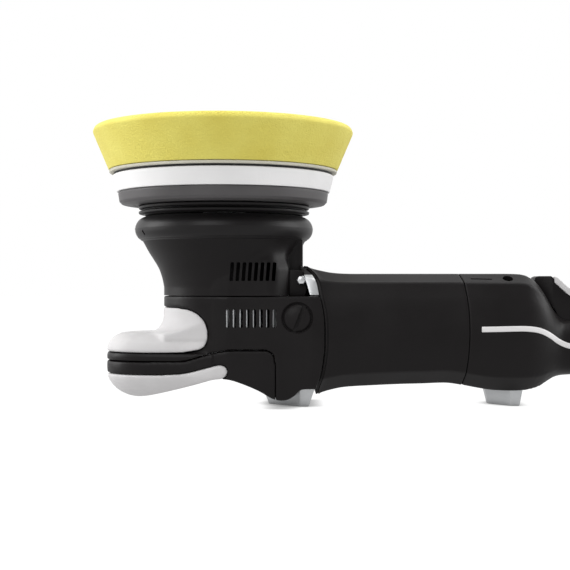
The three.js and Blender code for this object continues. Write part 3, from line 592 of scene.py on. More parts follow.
layer_low, layer_high = low("pad_loop_layer"), high("pad_loop_layer")
loop_profile = filleted([(HOLE_R, layer_low.z), (PAD_BASE_R - 0.4, layer_low.z), (PAD_BASE_R - 0.1, layer_high.z),
    (HOLE_R, layer_high.z)], [0.2, 0.5, 0.3, 0.2])
loop_layer = ruffle(turned("loop_layer", dense(loop_profile), PAD_AXIS, 300), 2, 0.5)
piece(loop_layer, "pad", "loop_fabric", "pad_loop_layer")

hook_low, hook_high = low("plate_hook_layer"), high("plate_hook_layer")
PLATE_R = middle("plate_cushion")[2]
hook_profile = [(HOLE_R, hook_low.z), (PLATE_R - 0.5, hook_low.z), (PLATE_R - 0.5, hook_high.z + 0.2),
    (HOLE_R, hook_high.z + 0.2)]
piece(ruffle(turned("hook_layer", dense(hook_profile, 0.6), PAD_AXIS, 420), 1.2, 0.5), "pad", "hook_fabric",
    "plate_hook_layer")

cushion_low, cushion_high = low("plate_cushion").z, high("plate_cushion").z
cushion_profile = filleted([(HOLE_R, cushion_low), (60.5, cushion_low), (PLATE_R, cushion_high - 1.6),
    (PLATE_R, cushion_high), (HOLE_R, cushion_high)], [0.4, 0.6, 2, 0.7, 0.4])
piece(turned("cushion_skin", cushion_profile, PAD_AXIS, 240), "pad", "plate_foam", "plate_cushion")

disc_low, disc_high = low("plate_disc").z, high("plate_disc").z
DISC_R = middle("plate_disc")[2]
disc_profile = filleted([(4.3, disc_low), (DISC_R - 9.5, disc_low), (DISC_R - 8.3, disc_low - 0.4),
    (DISC_R - 2.4, disc_low + 0.2), (DISC_R - 1, disc_low + 1.6), (DISC_R - 0.4, disc_high - 1.2),
    (DISC_R - 0.4, disc_high), (4.3, disc_high)], [0.2, 0.5, 0.5, 0.9, 1.2, 0.6, 0.4, 0.2])
piece(turned("disc_skin", disc_profile, PAD_AXIS, 240), "pad", "plate_plastic", "plate_disc")

# ---- rubber boot and bead ----
boot_low, boot_high = low("dust_boot").z, high("dust_boot").z
boot_profile = filleted([(39.5, boot_low), (45.5, boot_low), (46, boot_low + 0.6), (48.9, boot_low + 0.9),
    (49.2, boot_low + 2.2), (46.6, boot_low + 2.7), (46.4, boot_high - 2.1), (48.9, boot_high - 1.7),
    (49.2, boot_high - 0.4), (48.4, boot_high), (39.5, boot_high)], [0.2, 0.3, 0.4, 0.5, 0.5, 0.4, 0.4, 0.5, 0.4,
    0.3, 0.2])
piece(turned("boot_skin", boot_profile, steps=200), "machine", "black_rubber", "dust_boot")

bead_low, bead_high = low("shroud_bead"), high("shroud_bead")
BEAD_SECTION = (bead_high.z - bead_low.z) / 2
BEAD_Z = (bead_high.z + bead_low.z) / 2
BEAD_R = bead_high.x - BEAD_SECTION
bead_profile = []
for i in range(96):
    turn = radians(3.75 * i)
    ridge = 0.16 * exp(-((degrees(turn) - 2) / 2.4) ** 2)
    line = -0.22 * exp(-((degrees(turn) - 308) / 2.6) ** 2)
    r = BEAD_SECTION - 0.16 + ridge + line
    bead_profile.append((BEAD_R + r * cos(turn), BEAD_Z + r * sin(turn)))
bead = turned("bead_skin", bead_profile, steps=288)
notch_turn = radians(210.5)
notch_at = Vector((50.6 * cos(notch_turn), 50.6 * sin(notch_turn), BEAD_Z - 2.6))
notch = bevelled(box("notch", -1.6, 1.6, -0.75, 0.75, -1.5, 1.5), 0.25)
placed(notch, notch_at, Matrix.Rotation(notch_turn, 4, "Z"), Matrix.Rotation(0.5, 4, "X"))
piece(combine(bead, notch), "machine", "black_rubber", "shroud_bead")

HEAD_R = 34.6  # front of the shroud and of the head cover, round the crank axis

# ---- shroud ----
CONE = curve([(61, 34.45), (64.2, 34.3), (68.8, 34.9), (73.4, 36), (78, 37.7), (82.7, 40.5), (87.3, 43.4),
    (91.9, 45.9), (93.4, 46.8)], 5)
SHROUD_FRONT = [(-HEAD_R * cos(0.07 * k), HEAD_R * sin(0.07 * k)) for k in range(1, 21)]
SHROUD_HALF = SHROUD_FRONT + filleted([(-4.2, 34.9), (-1.2, 35.8), (4, 36.3), (29.5, 36.4), (37.3, 28.5), (37.3, 19),
    (45.2, 19), (45.2, 0.1)], [0, 6, 12, 9, 4, 1, 1.5, 0], closed=False)
SHROUD_PLAN = mirrored(SHROUD_HALF)
SEAM_Z = low("shroud").z
SHROUD_TOP = 93.4
AROUND = 320


def reach_at(outline, turn):
    """Distance from the crank axis to an outline that goes once round it."""
    ray = Vector((cos(turn), sin(turn)))
    best = 0
    for a, b in zip(outline, outline[1:] + outline[:1]):
        edge = Vector((b[0] - a[0], b[1] - a[1]))
        det = ray.x * -edge.y + edge.x * ray.y
        if abs(det) < 1e-9:
            continue
        t = (a[0] * -edge.y + edge.x * a[1]) / det
        s = (ray.x * a[1] - ray.y * a[0]) / det
        if t > 0 and -1e-6 <= s <= 1 + 1e-6:
            best = max(best, t)
    return best


SHROUD_REACH = [reach_at(SHROUD_PLAN, 2 * pi * i / AROUND) for i in range(AROUND)]


def shroud_row(z):
    cone = line_at(CONE, z)
    blend = 1 - eased(share((z - 76) / 16.4))
    row = []
    for i, reach in enumerate(SHROUD_REACH):
        turn = 2 * pi * i / AROUND
        x = reach * cos(turn)
        keep = 1 if abs(reach * sin(turn)) < 19.3 and x > 30 else blend
        r = max(cone, cone + (reach - cone) * keep)
        row.append((r * cos(turn), r * sin(turn), z))
    return row


def vent_cutters(first, pitch, width, z0, z1, lean):
    tools = []
    for i in range(8):
        x = first + i * pitch
        slot = filleted([(x - lean, z0), (x - lean + width, z0), (x + width, z1), (x, z1)], 0.7, 4)
        for y0, y1 in ((-50, -29), (29, 50)):
            tools.append(prism("vent", slot, "y", y0, y1))
    return joined("vents", *tools)


def inwards(row, depth, z):
    """A row round the crank axis moved towards it, at its own height."""
    return [(p[0] * (1 - depth / hypot(p[0], p[1])), p[1] * (1 - depth / hypot(p[0], p[1])), z) for p in row]


rows = [shroud_row(SEAM_Z - 0.05 + (SHROUD_TOP - SEAM_Z) * i / 40) for i in range(41)]
inner = [inwards(row, 2.6, row[0][2]) for row in rows[:35:2]]
for inset, rise in ((0.8, 0.5), (5, 0.6), (10.6, 0.6)):
    rows.append(inwards(rows[40], inset, SHROUD_TOP + rise))
rows.append(inwards(rows[40], 10.6, SHROUD_TOP - 3.4))
rows += inner[::-1]
rows.append(rows[0])
shroud = grid("shroud_skin", rows, caps=False)
combine(shroud, box("lug_room", 37.6, 60, -45, 45, 50, 76.4), vent_cutters(5.4, 3.3, 2, 70.4, 80.6, 0.8))
lugs = [bevelled(prism("lug", filleted([(37.2, 61.9), (46.4, 61.9), (47.4, 66), (45.2, 76.2), (37.2, 77)], 1.2), "y",
    *span), 0.5) for span in ((-25.6, -18), (18, 25.6))]
casing(joined("shroud_shell", shroud, *lugs), "shroud", angle=38)
liner = turned("liner", [(31.3, 57), (32, 57), (32, 83.4), (31.3, 83.4)], steps=96)
casing(liner)
cup = turned("collar", [(32.8, 88.9), (35.8, 88.9), (35.8, 105.2), (35, 105.4), (32.8, 105.4)], steps=96)
casing(cup)

# ---- head cover and palm handle ----
HEAD_BOTTOM = curve([(-40, 16.9), (-20, 16.8), (-3, 16.7), (4.9, 15.9), (11.5, 13.8), (18.6, 10.9), (22.6, 8.9),
    (27.4, 6), (32.4, 4.6), (37, 5.3), (40.6, 7.6), (43.6, 10.4), (46, 10.9), (52, 10.9), (64, 10.9)], 5)
GROOVE = curve([(-72, 25.7), (-40, 25.7), (-23.4, 25.9), (-17.8, 26.8), (-12.2, 28.4), (-3.9, 30.8), (3, 32),
    (9, 32.4), (16, 32.4), (23.5, 32.4)], 5)
GROOVE += [(26.2, 31.9), (28.2, 30.4), (29.3, 28), (29.8, 22)]
BAND_BASE = curve([(-72, 18.6), (-50, 18.6), (-34.5, 18.7), (-25, 19.2), (-17.8, 20.2), (-6, 23.3), (-1, 24.4)], 5)
PALM_HALF = curve([(-67.2, 0.01), (-66.6, 7.5), (-64.6, 14), (-60.6, 20.2), (-54.5, 25.2), (-46, 28.6), (-35, 30.9),
    (-20, 33.3), (-5, 36)], 6)
PALM_PLAN = mirrored(PALM_HALF[::-1])  # anticlockwise seen from above
TIP_X = low("upper_grip").x


def head_plan(inset):
    r = HEAD_R - inset
    half = [(r * cos(pi - a), r * sin(pi - a)) for a in [1.42 * k / 40 for k in range(1, 41)]]
    half += [(-4.2, 34.9 - inset), (-1.2, 35.6 - inset), (3, 36 - inset), (50, 36 - inset), (62, 34.7 - inset)]
    return mirrored(half) + [(-r, 0)]


FRONT_SEAM = curve([(44.6, 84), (45.1, 78.4), (47.6, 76.5), (50.6, 73.7), (52.8, 69.2), (54.1, 63), (55.8, 55.6),
    (56.8, 49), (57.1, 40), (56.8, 31), (55.4, 21.5), (54.1, 16.3), (52.4, 10.9), (52, 7), (52, -4)], 5)
REAR_SEAM = curve([(132.2, 84), (132.4, 75.5), (134.3, 69.3), (136.3, 56), (136.9, 43), (136.4, 30), (135.2, 18),
    (134, 9), (134, -2)], 5)


def below_groove(shift):
    end = [(29.8 + shift * 0.05, 22), (29.8 + shift * 0.02, -6), (-72, -6)]
    return through("below", [(x, z + shift) for x, z in GROOVE[:-1]] + end)


def stacked(name, plan, levels):
    """The palm outline at several heights, drawn in at each by its own inset towards the middle of the palm."""
    rows = []
    for z, inset in levels:
        row = []
        for x, y in plan:
            spine = max(x, -40)
            reach = hypot(x - spine, y)
            keep = max(1 - inset / reach, 0.02)
            row.append((spine + (x - spine) * keep, y * keep, z))
        rows.append(row)
    return grid(name, rows)


def head_block():
    block = prism("head", head_plan(0), "z", -2, SEAM_Z - 0.35)
    side = through("side", HEAD_BOTTOM + [(64, 70), (-40, 70)])
    meet(block, side)
    core = stacked("core", PALM_PLAN, [(16, 0.5), (18.6, 0.25), (22, 0), (25.6, 0.15), (28.5, 0), (30.2, 0.5)])
    trim = through("trim", BAND_BASE + [(-1, 30.3), (-72, 30.3)])
    meet(core, trim)
    combine(block, core, op="UNION")
    seam = [(x - 0.2, z) for x, z in FRONT_SEAM] + [(-120, -4), (-120, 84)]
    return meet(block, through("seam", seam))


def cavity():
    hollow = prism("hollow", head_plan(5.4), "z", 18, 70)
    low_part = box("low", 4, 64, -31.6, 31.6, 12.6, 30)
    return hollow, low_part


UPPER_GRIP = curve([(-66.8, 30.6), (-40, 30.6), (-23, 31), (-17.8, 31.7), (-12.6, 32.6), (-9.4, 34.4), (-7.7, 38),
    (-7.7, 43.5), (-9.4, 48), (-12.5, 51.6), (-17, 54), (-23.4, 55.2), (-37, 55.7)], 5)
UPPER_GRIP += [(-70, 55.7), (-70, 30.6)]
LOWER_GRIP = curve([(-64.8, 12.4), (-60.3, 8.1), (-54.5, 5.5), (-48.7, 4.9), (-42.9, 5.7), (-37.1, 7), (-25.6, 10),
    (-14, 13.2), (-5, 15.9), (-0.5, 16.4), (2.4, 17.9), (3.6, 20.3), (2.6, 22.9), (-0.4, 24.1), (-6, 23),
    (-17.8, 19.8), (-25, 18.8), (-34.5, 18.3), (-50, 18.2), (-64, 18.2), (-66.6, 17.4), (-66.4, 15.2)], 5)
CORE_R = 32.4

cover = head_block()
base = cover.copy()
base.data = cover.data.copy()
SCENE.collection.objects.link(base)
meet(base, below_groove(-0.2))
combine(cover, below_groove(0.25))


def grip_recess(outline, floor):
    tool = through("recess", outline)
    return combine(tool, rod("core", CORE_R, floor, 80))


combine(cover, grip_recess(grown(UPPER_GRIP, 0.3), 20))
combine(base, grip_recess(grown(LOWER_GRIP, 0.3), 15.8))
soften(cover, 0.75, 5)
soften(base, 0.75, 5)
for shell in (cover, base):
    combine(shell, *cavity())
VENT_X, VENT_PITCH = 2.8, 3.66
combine(cover, vent_cutters(VENT_X, VENT_PITCH, 1.9, 44.8, 54.8, 0))

PLUG_X, PLUG_Z, PLUG_R = middle("side_plug_right")
for side in (-1, 1):
    recess = turned_on("recess", [(0, 34.4), (PLUG_R + 0.5, 34.4), (PLUG_R + 0.5, 35.2), (PLUG_R + 1.6, 36.4),
        (PLUG_R + 1.6, 40), (0, 40)], (PLUG_X, 0, PLUG_Z), (0, side, 0))
    combine(cover, recess)
eye = rod("eye", 0.7, 0, 8, (-30.6, -22, 58.3), (-0.55, -0.83, 0), 24)
casing(combine(cover, eye), "head_cover", angle=30)
casing(base, "handle_base", angle=30)


slab = stacked("slab", PALM_PLAN, [(30.6, 0.2), (32, 0), (34, 0.3), (36, 1.1), (38, 2.7), (39.6, 4.9), (40.8, 7.9),
    (41.35, 11.5), (41.5, 15)])
plan_of_palm = prism("plan_of_palm", grown(PALM_PLAN, -0.9), "z", 20, 70)
throat = turned("throat", [(30.5, 38), (44, 38), (44, 41.2), (40.4, 42), (37.6, 43.8), (35.8, 46.6), (34.9, 50),
    (34.75, 60), (30.5, 60)])
meet(throat, plan_of_palm)
combine(slab, throat, op="UNION")
meet(slab, through("trim", UPPER_GRIP))
combine(slab, rod("core", CORE_R + 0.3, 20, 80))
combine(slab, box("back", -7.4, 60, -60, 60, 20, 70))
piece(soften(slab, 0.8, 7), "machine", "light_grip", "upper_grip", angle=60)

PALM_LONG = mirrored([(7, 35.9)] + PALM_HALF[::-1])
keel = stacked("keel", PALM_LONG, [(2, 24), (4.4, 17), (5.6, 12), (7.4, 8), (9.6, 5), (12.2, 2.6), (15, 0.9),
    (17.6, 0.1), (19.5, 0), (26, 0)])
meet(keel, through("trim", LOWER_GRIP))
combine(keel, rod("core", CORE_R + 0.3, 15.5, 80))
piece(soften(keel, 0.8, 7), "machine", "light_grip", "lower_grip", angle=60)

for side, node in ((-1, "side_plug_right"), (1, "side_plug_left")):
    plug = turned_on("plug", [(0, 26), (3.9, 26), (3.9, 34.6), (PLUG_R - 0.3, 34.6), (PLUG_R, 34.9),
        (PLUG_R - 0.05, 35.1), (PLUG_R - 0.5, 35.6), (PLUG_R - 1.4, 36.15), (PLUG_R - 2.8, 36.7),
        (PLUG_R - 4.6, 37.1), (0, 37.3)], (PLUG_X, 0, PLUG_Z), (0, side, 0), 96)
    slot = bevelled(box("slot", -1, 1, -2.3, 2.3, -10, 10), 0.15)
    placed(slot, Vector((PLUG_X + 1.2, side * 37.2, PLUG_Z)), Matrix.Rotation(0.38, 4, "Y"))
    casing(combine(plug, slot), node, angle=35)

# ---- motor housing, rear shells and what they hold ----
CORNERS = [(0, 1), (0.6, 1), (0.885, 0.84), (0.965, 0.5), (1, 0.05), (0.985, -0.42), (0.905, -0.75), (0.6, -1),
    (0, -1)]
MOTOR_SECTIONS = [(40, 80.3, 6.6, 34.4), (46, 78.8, 6.6, 34.2), (52, 77, 7, 34), (56, 76.1, 8.1, 33.8),
    (60, 75.3, 9.3, 33.6), (68, 74.6, 10.9, 33.4), (84, 74.5, 11.9, 33.2), (100, 74.5, 12.6, 33),
    (112, 74.5, 12.9, 32.9), (125, 74.5, 13.3, 32.8), (132, 74.5, 12.5, 32.8), (140, 74.5, 11, 32.8)]
REAR_SECTIONS = [(126, 74.5, 13, 32.8), (134, 74.5, 12.2, 32.8), (142, 74.5, 10.7, 32.6), (150, 74.5, 9.4, 32.2),
    (158, 74.5, 8.9, 31.6), (164, 74.4, 8.8, 31), (168, 74.1, 8.9, 30.4), (172, 73.1, 9.1, 29.6),
    (176, 70.9, 9.6, 28.2), (180, 66.9, 10.8, 26.2), (184, 61, 12.9, 23.6), (188, 54.8, 15, 20.8),
    (192, 50.6, 16.2, 18.7), (198, 49.3, 16.7, 17.3), (206, 49.3, 16.9, 16.9), (240, 49, 17, 16.5),
    (280, 49.4, 16.4, 17.4), (304, 50.2, 15.2, 18.6), (314, 50.4, 14.8, 18.8), (320, 49.8, 15.4, 18.2),
    (323.4, 48.2, 17, 16.6), (325, 45.6, 19.6, 14.2)]


ROUND_FROM, ROUND_OVER, ROUND_STEPS = 166, 26, 12  # where the facets fade into the round grip


def section_outline(radius, round_mix):
    """Unit half section, top to bottom: flat facets above and below, a bowed side, rounder towards the grip."""
    top = filleted(CORNERS[:4], [0, radius * 1.6, radius, 0], 6, closed=False)
    side = curve(CORNERS[2:7], 6)
    bottom = filleted(CORNERS[5:], [0, radius * 1.4, radius * 1.6, 0], 6, closed=False)
    raw = [p for p in top if p[1] > 0.62] + [p for p in side if -0.6 < p[1] <= 0.62]
    raw += [p for p in bottom if p[1] <= -0.6]
    lengths = [0]
    for a, b in zip(raw, raw[1:]):
        lengths.append(lengths[-1] + dist(a, b))
    even = []
    count = 120
    for k in range(count + 1):
        at = lengths[-1] * k / count
        i = min(max(bisect.bisect_right(lengths, at), 1), len(raw) - 1)
        t = (at - lengths[i - 1]) / max(lengths[i] - lengths[i - 1], 1e-9)
        a, b = raw[i - 1], raw[i]
        u, v = a[0] + (b[0] - a[0]) * t, a[1] + (b[1] - a[1]) * t
        turn = pi / 2 - pi * k / count
        power = 0.72
        cu = abs(cos(turn)) ** power
        cv = copysign(abs(sin(turn)) ** power, sin(turn))
        even.append((u + (cu - u) * round_mix, v + (cv - v) * round_mix))
    return even


FACETED = section_outline(0.035, 0)


def smooth_at(table, x):
    """Top, bottom and half width at x, on a smooth line through the sections."""
    xs = [s[0] for s in table]
    i = min(max(bisect.bisect_right(xs, x), 1), len(table) - 1)
    a, b = table[i - 1], table[i]
    before, after = table[max(i - 2, 0)], table[min(i + 1, len(table) - 1)]
    t = share((x - a[0]) / (b[0] - a[0]))
    h = b[0] - a[0]
    values = []
    for k in (1, 2, 3):
        ma = (b[k] - before[k]) / max(b[0] - before[0], 1e-9) * h
        mb = (after[k] - a[k]) / max(after[0] - a[0], 1e-9) * h
        values.append((2 * t ** 3 - 3 * t ** 2 + 1) * a[k] + (t ** 3 - 2 * t ** 2 + t) * ma
                      + (-2 * t ** 3 + 3 * t ** 2) * b[k] + (t ** 3 - t ** 2) * mb)
    return values


def roundness(x):
    return eased(share((x - ROUND_FROM) / ROUND_OVER)) * 0.9


def outline_at(x):
    return OUTLINES[min(int(max(x - ROUND_FROM, 0) / ROUND_OVER * ROUND_STEPS), ROUND_STEPS)]


def body_point(table, x, k):
    top, bottom, half = smooth_at(table, x)
    outline = FACETED if x < ROUND_FROM else outline_at(x)
    u, v = outline[k]
    return u * half, (top + bottom) / 2 + v * (top - bottom) / 2


OUTLINES = [section_outline(0.035, roundness(ROUND_FROM + ROUND_OVER * step / ROUND_STEPS))
            for step in range(ROUND_STEPS + 1)]


def half_at(table, x, z):
    """Half width of the housing at x and height z."""
    top, bottom, half = smooth_at(table, x)
    v = (z - (top + bottom) / 2) / ((top - bottom) / 2)
    a = outline_at(x)
    for p, q in zip(a, a[1:]):
        if q[1] <= v <= p[1]:
            t = (p[1] - v) / max(p[1] - q[1], 1e-9)
            return (p[0] + (q[0] - p[0]) * t) * half
    return half * (1 - roundness(x))


def seam_x(seam, z):
    ordered = sorted((pz, px) for px, pz in seam)
    return line_at(ordered, z)


SIDE_COUNT = len(FACETED)


def skin_rows(table, start, end, steps, indices, sign):
    """Rows of points from one seam to the next; start and end give x for a height."""
    ends = []
    for k in indices:
        x = start(body_point(table, start(42), k)[1])
        ends.append((k, start(body_point(table, x, k)[1]), end(body_point(table, end(42), k)[1])))
    rows = []
    for step in range(steps + 1):
        t = step / steps
        row = []
        for k, x0, x1 in ends:
            x = x0 + (x1 - x0) * t
            y, z = body_point(table, x, k)
            row.append((x, sign * y, z))
        rows.append(row)
    return rows


def full_ring(table, start, end, steps):
    right = skin_rows(table, start, end, steps, range(SIDE_COUNT), 1)
    left = skin_rows(table, start, end, steps, range(SIDE_COUNT - 2, 0, -1), -1)
    return [a + b for a, b in zip(right, left)]


def rimmed(rows, lip=0.55, groove=0):
    """The first and last rows drawn in a little, for a rounded edge at each seam."""
    def drawn(row, amount, shift):
        cz = MOTOR_Z
        result = []
        for x, y, z in row:
            r = hypot(y, z - cz)
            k = 1 - amount / r
            result.append((x + shift, y * k, cz + (z - cz) * k))
        return result
    first, last = rows[0], rows[-1]
    head = [drawn(first, lip, 0), drawn(first, lip * 0.3, lip * 0.3)]
    tail = [drawn(last, lip * 0.3, -lip * 0.3), drawn(last, lip, 0)]
    middle = [[(p[0] + lip, p[1], p[2]) for p in first]]
    if groove:
        for shift, depth in ((groove - 0.35, 0), (groove - 0.2, 0.5), (groove + 0.2, 0.5), (groove + 0.35, 0)):
            middle.append(drawn(first, depth, shift))
    middle += rows[2:-1] + [[(p[0] - lip, p[1], p[2]) for p in last]]
    return head + middle + tail


motor_rows = full_ring(MOTOR_SECTIONS, lambda z: seam_x(FRONT_SEAM, z) + 0.25, lambda z: seam_x(REAR_SEAM, z) - 0.2,
    48)
motor_skin = thickened(grid("motor_skin", rimmed(motor_rows, 0.4, 1.35), caps=False), 2.6)
casing(motor_skin, "motor_housing", angle=24)


def housing_ring(x, depth, width=33, skip=1):
    """The motor housing's outline at x, drawn in by a depth."""
    row = [body_point(MOTOR_SECTIONS, x, k) for k in range(0, SIDE_COUNT, skip)]
    row += [(-y, z) for y, z in row[-2:0:-1]]
    return [(x, y * (1 - depth / width), MOTOR_Z + (z - MOTOR_Z) * (1 - depth / 33)) for y, z in row]


# A ring inside the rear seam, so that nothing shows through it
SPIGOT = [(130.5, 2.75), (139.5, 2.75), (139.5, 3.5), (130.5, 3.5), (130.5, 2.75)]
spigot = grid("spigot", [housing_ring(x, depth, skip=4) for x, depth in SPIGOT], caps=False)
casing(spigot)

TRIGGER_HALF = high("trigger").y
FACET_TILT = atan2(0.16 * 32.8, 0.285 * 31.6)
SCREW_X = middle("shell_screw_right")[0]
SCREW_Y, SCREW_Z = 23.5, 72
LOCK_X, LOCK_Z, LOCK_R = middle("lock_button")
DIAL_LOW, DIAL_HIGH = low("speed_dial"), high("speed_dial")
DIAL_X, DIAL_Z, DIAL_R = middle("speed_dial")
GLAND_Z = middle("cord_gland")[1]


def facet_direction(side):
    return Vector((0, side * sin(FACET_TILT), cos(FACET_TILT)))


def rear_half(side):
    """One half of the rear shell, open along the middle plane and closed round the cord gland."""
    indices = range(SIDE_COUNT)
    rows = skin_rows(REAR_SECTIONS, lambda z: seam_x(REAR_SEAM, z) + 0.2, lambda z: 325, 150, indices, side)
    first = rows[0]
    drawn = [(x, y * 0.983, MOTOR_Z + (z - MOTOR_Z) * 0.983) for x, y, z in first]
    edge = [(x + 0.15, y * 0.995, MOTOR_Z + (z - MOTOR_Z) * 0.995) for x, y, z in first]
    rows = [drawn, edge, [(p[0] + 0.55, p[1], p[2]) for p in first]] + rows[1:]
    last = rows[-1]
    for scale, x in ((0.93, 325.7), (0.8, 326), (0.55, 326), (0.42, 326)):
        rows.append([(x, y * scale, GLAND_Z + (z - GLAND_Z) * scale) for _, y, z in last])
    rows = [[(x, side * max(abs(y), 0.12), z) for x, y, z in row] for row in rows]
    shell = thickened(grid("rear_skin", rows, wrap=False, caps=False), 2.4)
    point = Vector((SCREW_X, side * SCREW_Y, SCREW_Z))
    hole = turned_on("hole", [(0, -9), (1.7, -9), (1.7, -6.4), (2.9, -5.6), (2.9, -0.2), (3.6, 0.7), (3.6, 5),
        (0, 5)], point, facet_direction(side), 48)
    along = Vector((-15, side * 1.2, -0.7))
    groove = bevelled(box("groove", -6, 6, -0.55, 0.55, -0.7, 2.5), 0.25)
    placed(groove, point + along, Matrix.Rotation(-side * FACET_TILT, 4, "X"))
    slot = prism("slot", filleted([(178, TRIGGER_HALF + 0.6), (178, -TRIGGER_HALF - 0.6), (265, -TRIGGER_HALF - 0.6),
        (265, TRIGGER_HALF + 0.6)], 1.5), "z", 42, 60)
    wheel_room = prism("room", filleted([(DIAL_X - 10.2, 3.6), (DIAL_X - 10.2, -3.6), (DIAL_X + 10.2, -3.6),
        (DIAL_X + 10.2, 3.6)], 1.2), "z", 8, 23)
    tools = [hole, groove, slot, wheel_room]
    if side < 0:
        tools.append(rod("lock_hole", LOCK_R + 0.35, 8, 30, (LOCK_X, 0, LOCK_Z), (0, -1, 0), 48))
    return combine(shell, *tools)


for side, word in SIDES:
    casing(rear_half(side), f"rear_shell_{word}", angle=26)
    point = Vector((SCREW_X, side * SCREW_Y, SCREW_Z))
    head = turned_on("screw_head", [(0, -9), (1.2, -9), (1.2, -6.3), (2.5, -5.3), (2.6, -5), (2.5, -4.8), (0, -4.6)],
        point, facet_direction(side), 40)
    drive = turned_on("drive", [(0, -6), (1.15, -6), (1.3, 0.5), (0, 0.5)], point, facet_direction(side), 6)
    piece(combine(head, drive), "machine", "bright_steel", f"shell_screw_{word}")

STRIPE_LINE = curve([(143.5, 43.7), (152, 43.8), (161, 44), (168, 44), (174, 43.4), (179, 42), (184, 39.5),
    (188, 36.9), (192, 34.9), (197, 33.6), (206, 33), (216, 32.6)], 8)
STRIPE_HALF = 1.5
for side, word in SIDES:
    rows = []
    for i, (x, z) in enumerate(STRIPE_LINE):
        nx, nz = STRIPE_LINE[min(i + 1, len(STRIPE_LINE) - 1)]
        px, pz = STRIPE_LINE[max(i - 1, 0)]
        across = Vector((-(nz - pz), nx - px)).normalized()
        row = []
        for t in (-1, -0.92, -0.5, 0, 0.5, 0.92, 1):
            sx, sz = x + across.x * STRIPE_HALF * t, z + across.y * STRIPE_HALF * t
            proud = 0.14 if abs(t) < 0.95 else 0.02
            row.append((sx, side * (half_at(REAR_SECTIONS, sx, sz) + proud), sz))
        rows.append(row)
    piece(thickened(grid("stripe", rows, wrap=False, caps=False), 0.5), "machine", "stripe_white",
        f"side_stripe_{word}", angle=50)

# ---- bright gear case ----
def housing_solid(name, shrink):
    """The motor housing's outline near its front, as a solid, drawn in all round."""
    return grid(name, [housing_ring(x, shrink, 34) for x in (38, 42, 46, 50, 54, 58)])


def front_band(name, z0, z1):
    """The ring between the motor housing and the shroud, with the heights from z0 to z1 left out."""
    ring = housing_solid(name, 0.3)
    combine(ring, housing_solid("inside", 4))
    meet(ring, through("band", band))
    return combine(ring, box("left_out", 40, 60, -50, 50, z0, z1))


LIP_Z = 73.9
band = [(x - 0.35, z) for x, z in FRONT_SEAM if SEAM_Z + 1 < z < 83][::-1]
band = [(seam_x(FRONT_SEAM, SEAM_Z + 0.3) - 0.35, SEAM_Z + 0.3)] + band
band += [(43.6, 82), (43.6, 77.5), (45, 76.2), (46.2, 72), (47.4, 68.2), (48.9, 62.9), (49, SEAM_Z + 0.3)]
rim = front_band("rim", LIP_Z, 90)
lip = front_band("lip", 0, LIP_Z)
casing(bevelled(lip, 0.3, 2, 50), angle=30)
tower = turned("tower", [(10.8, 66), (10.8, 78), (28.6, 78), (28.6, 64), (27, 60), (27, 23), (24, 20.2), (11.4, 20.2),
    (11.4, 31), (23.4, 31), (23.4, 66)], steps=96)
block = bevelled(box("block", 27.5, 45.5, -21.8, 21.8, 21.2, 61.8), 1)
combine(block, rod("bore", 13.2, 20, 60, (0, 0, MOTOR_Z), (1, 0, 0), 64))
piece(joined("gear_case", bevelled(rim, 0.35, 2, 50), tower, block), "machine", "cast_alloy", "gear_housing",
    angle=30)

fins = []
for side in (-1, 1):
    for i in range(8):
        x = VENT_X + VENT_PITCH * i
        fins.append(bevelled(box("fin", x - 0.3, x + 0.8 - 0.05 * i, *sorted((side * 29.6, side * 35.1)), 43.5, 56),
            0.15))
piece(joined("cooling_fins", *fins), "machine", "cast_alloy")

for side, word in SIDES:
    bx, bz, _ = middle(f"case_bolt_{word}")
    hexagon = turned_on("bolt", [(0, 25.7), (2.75, 25.7), (2.75, 28.9), (2.2, 29.6), (0, 29.75)], (bx, 0, bz),
        (0, side, 0), 6)
    piece(bevelled(hexagon, 0.15, 2), "machine", "bright_steel", f"case_bolt_{word}", angle=30)

# ---- feet ----
def foot(node, sole, top, top_z):
    rows = [[(x, y, z) for x, y in mirrored(plan)] for plan, z in ((sole, 0), (top, top_z))]
    return piece(bevelled(grid(node + "_skin", rows), 0.55, 3, 25), "machine", "cast_alloy", node, angle=40)


foot("front_foot", [(25.9, 4), (43.4, 20.5), (48.4, 20.5)], [(21.8, 5), (43.2, 23.8), (52, 23.8)], 11.2)
foot("rear_foot", [(151.9, 3), (162.3, 16), (167.6, 16)], [(149.6, 4), (162, 18), (169, 18)], 9.6)

# ---- trigger, lock button, speed dial and cord gland ----
TRIGGER_OUTLINE = [(192.6, 46.4), (189.2, 53.6), (183.7, 62), (178.3, 70.2), (178.6, 72.6), (180.4, 73.3),
    (186.8, 73.3), (190.5, 69.6), (197, 65.4), (210, 61.6), (235, 59), (254, 58.3), (261, 56), (262.8, 52),
    (262.8, 46.4)]
paddle = prism("paddle", filleted(TRIGGER_OUTLINE, [1, 3, 3, 1, 0.8, 0.8, 1.2, 3, 8, 10, 10, 5, 3, 2, 1])[::-1], "y",
    -TRIGGER_HALF, TRIGGER_HALF)
plan = prism("plan", [(177, 5), (187.6, TRIGGER_HALF), (270, TRIGGER_HALF), (270, -TRIGGER_HALF),
    (187.6, -TRIGGER_HALF), (177, -5)], "z", 40, 80)
meet(paddle, plan)
bed = prism("bed", [(188.4, 69.4), (197, 61.9), (210, 58.6), (235, 56.6), (250.6, 56.2), (250.6, 75), (188.4, 75)],
    "y", -20, 20)
combine(paddle, bed)
bevelled(paddle, 0.7, 3, 28)
pin_x, pin_z, _ = middle("trigger_pin")
lug = turned_on("lug", [(2.05, -6), (4, -6), (4, 6), (2.05, 6), (2.05, -6)], (pin_x, 0, pin_z), (0, 1, 0), 40)
post = bevelled(box("post", 220, 226, -4, 4, 41.3, 52), 0.4)
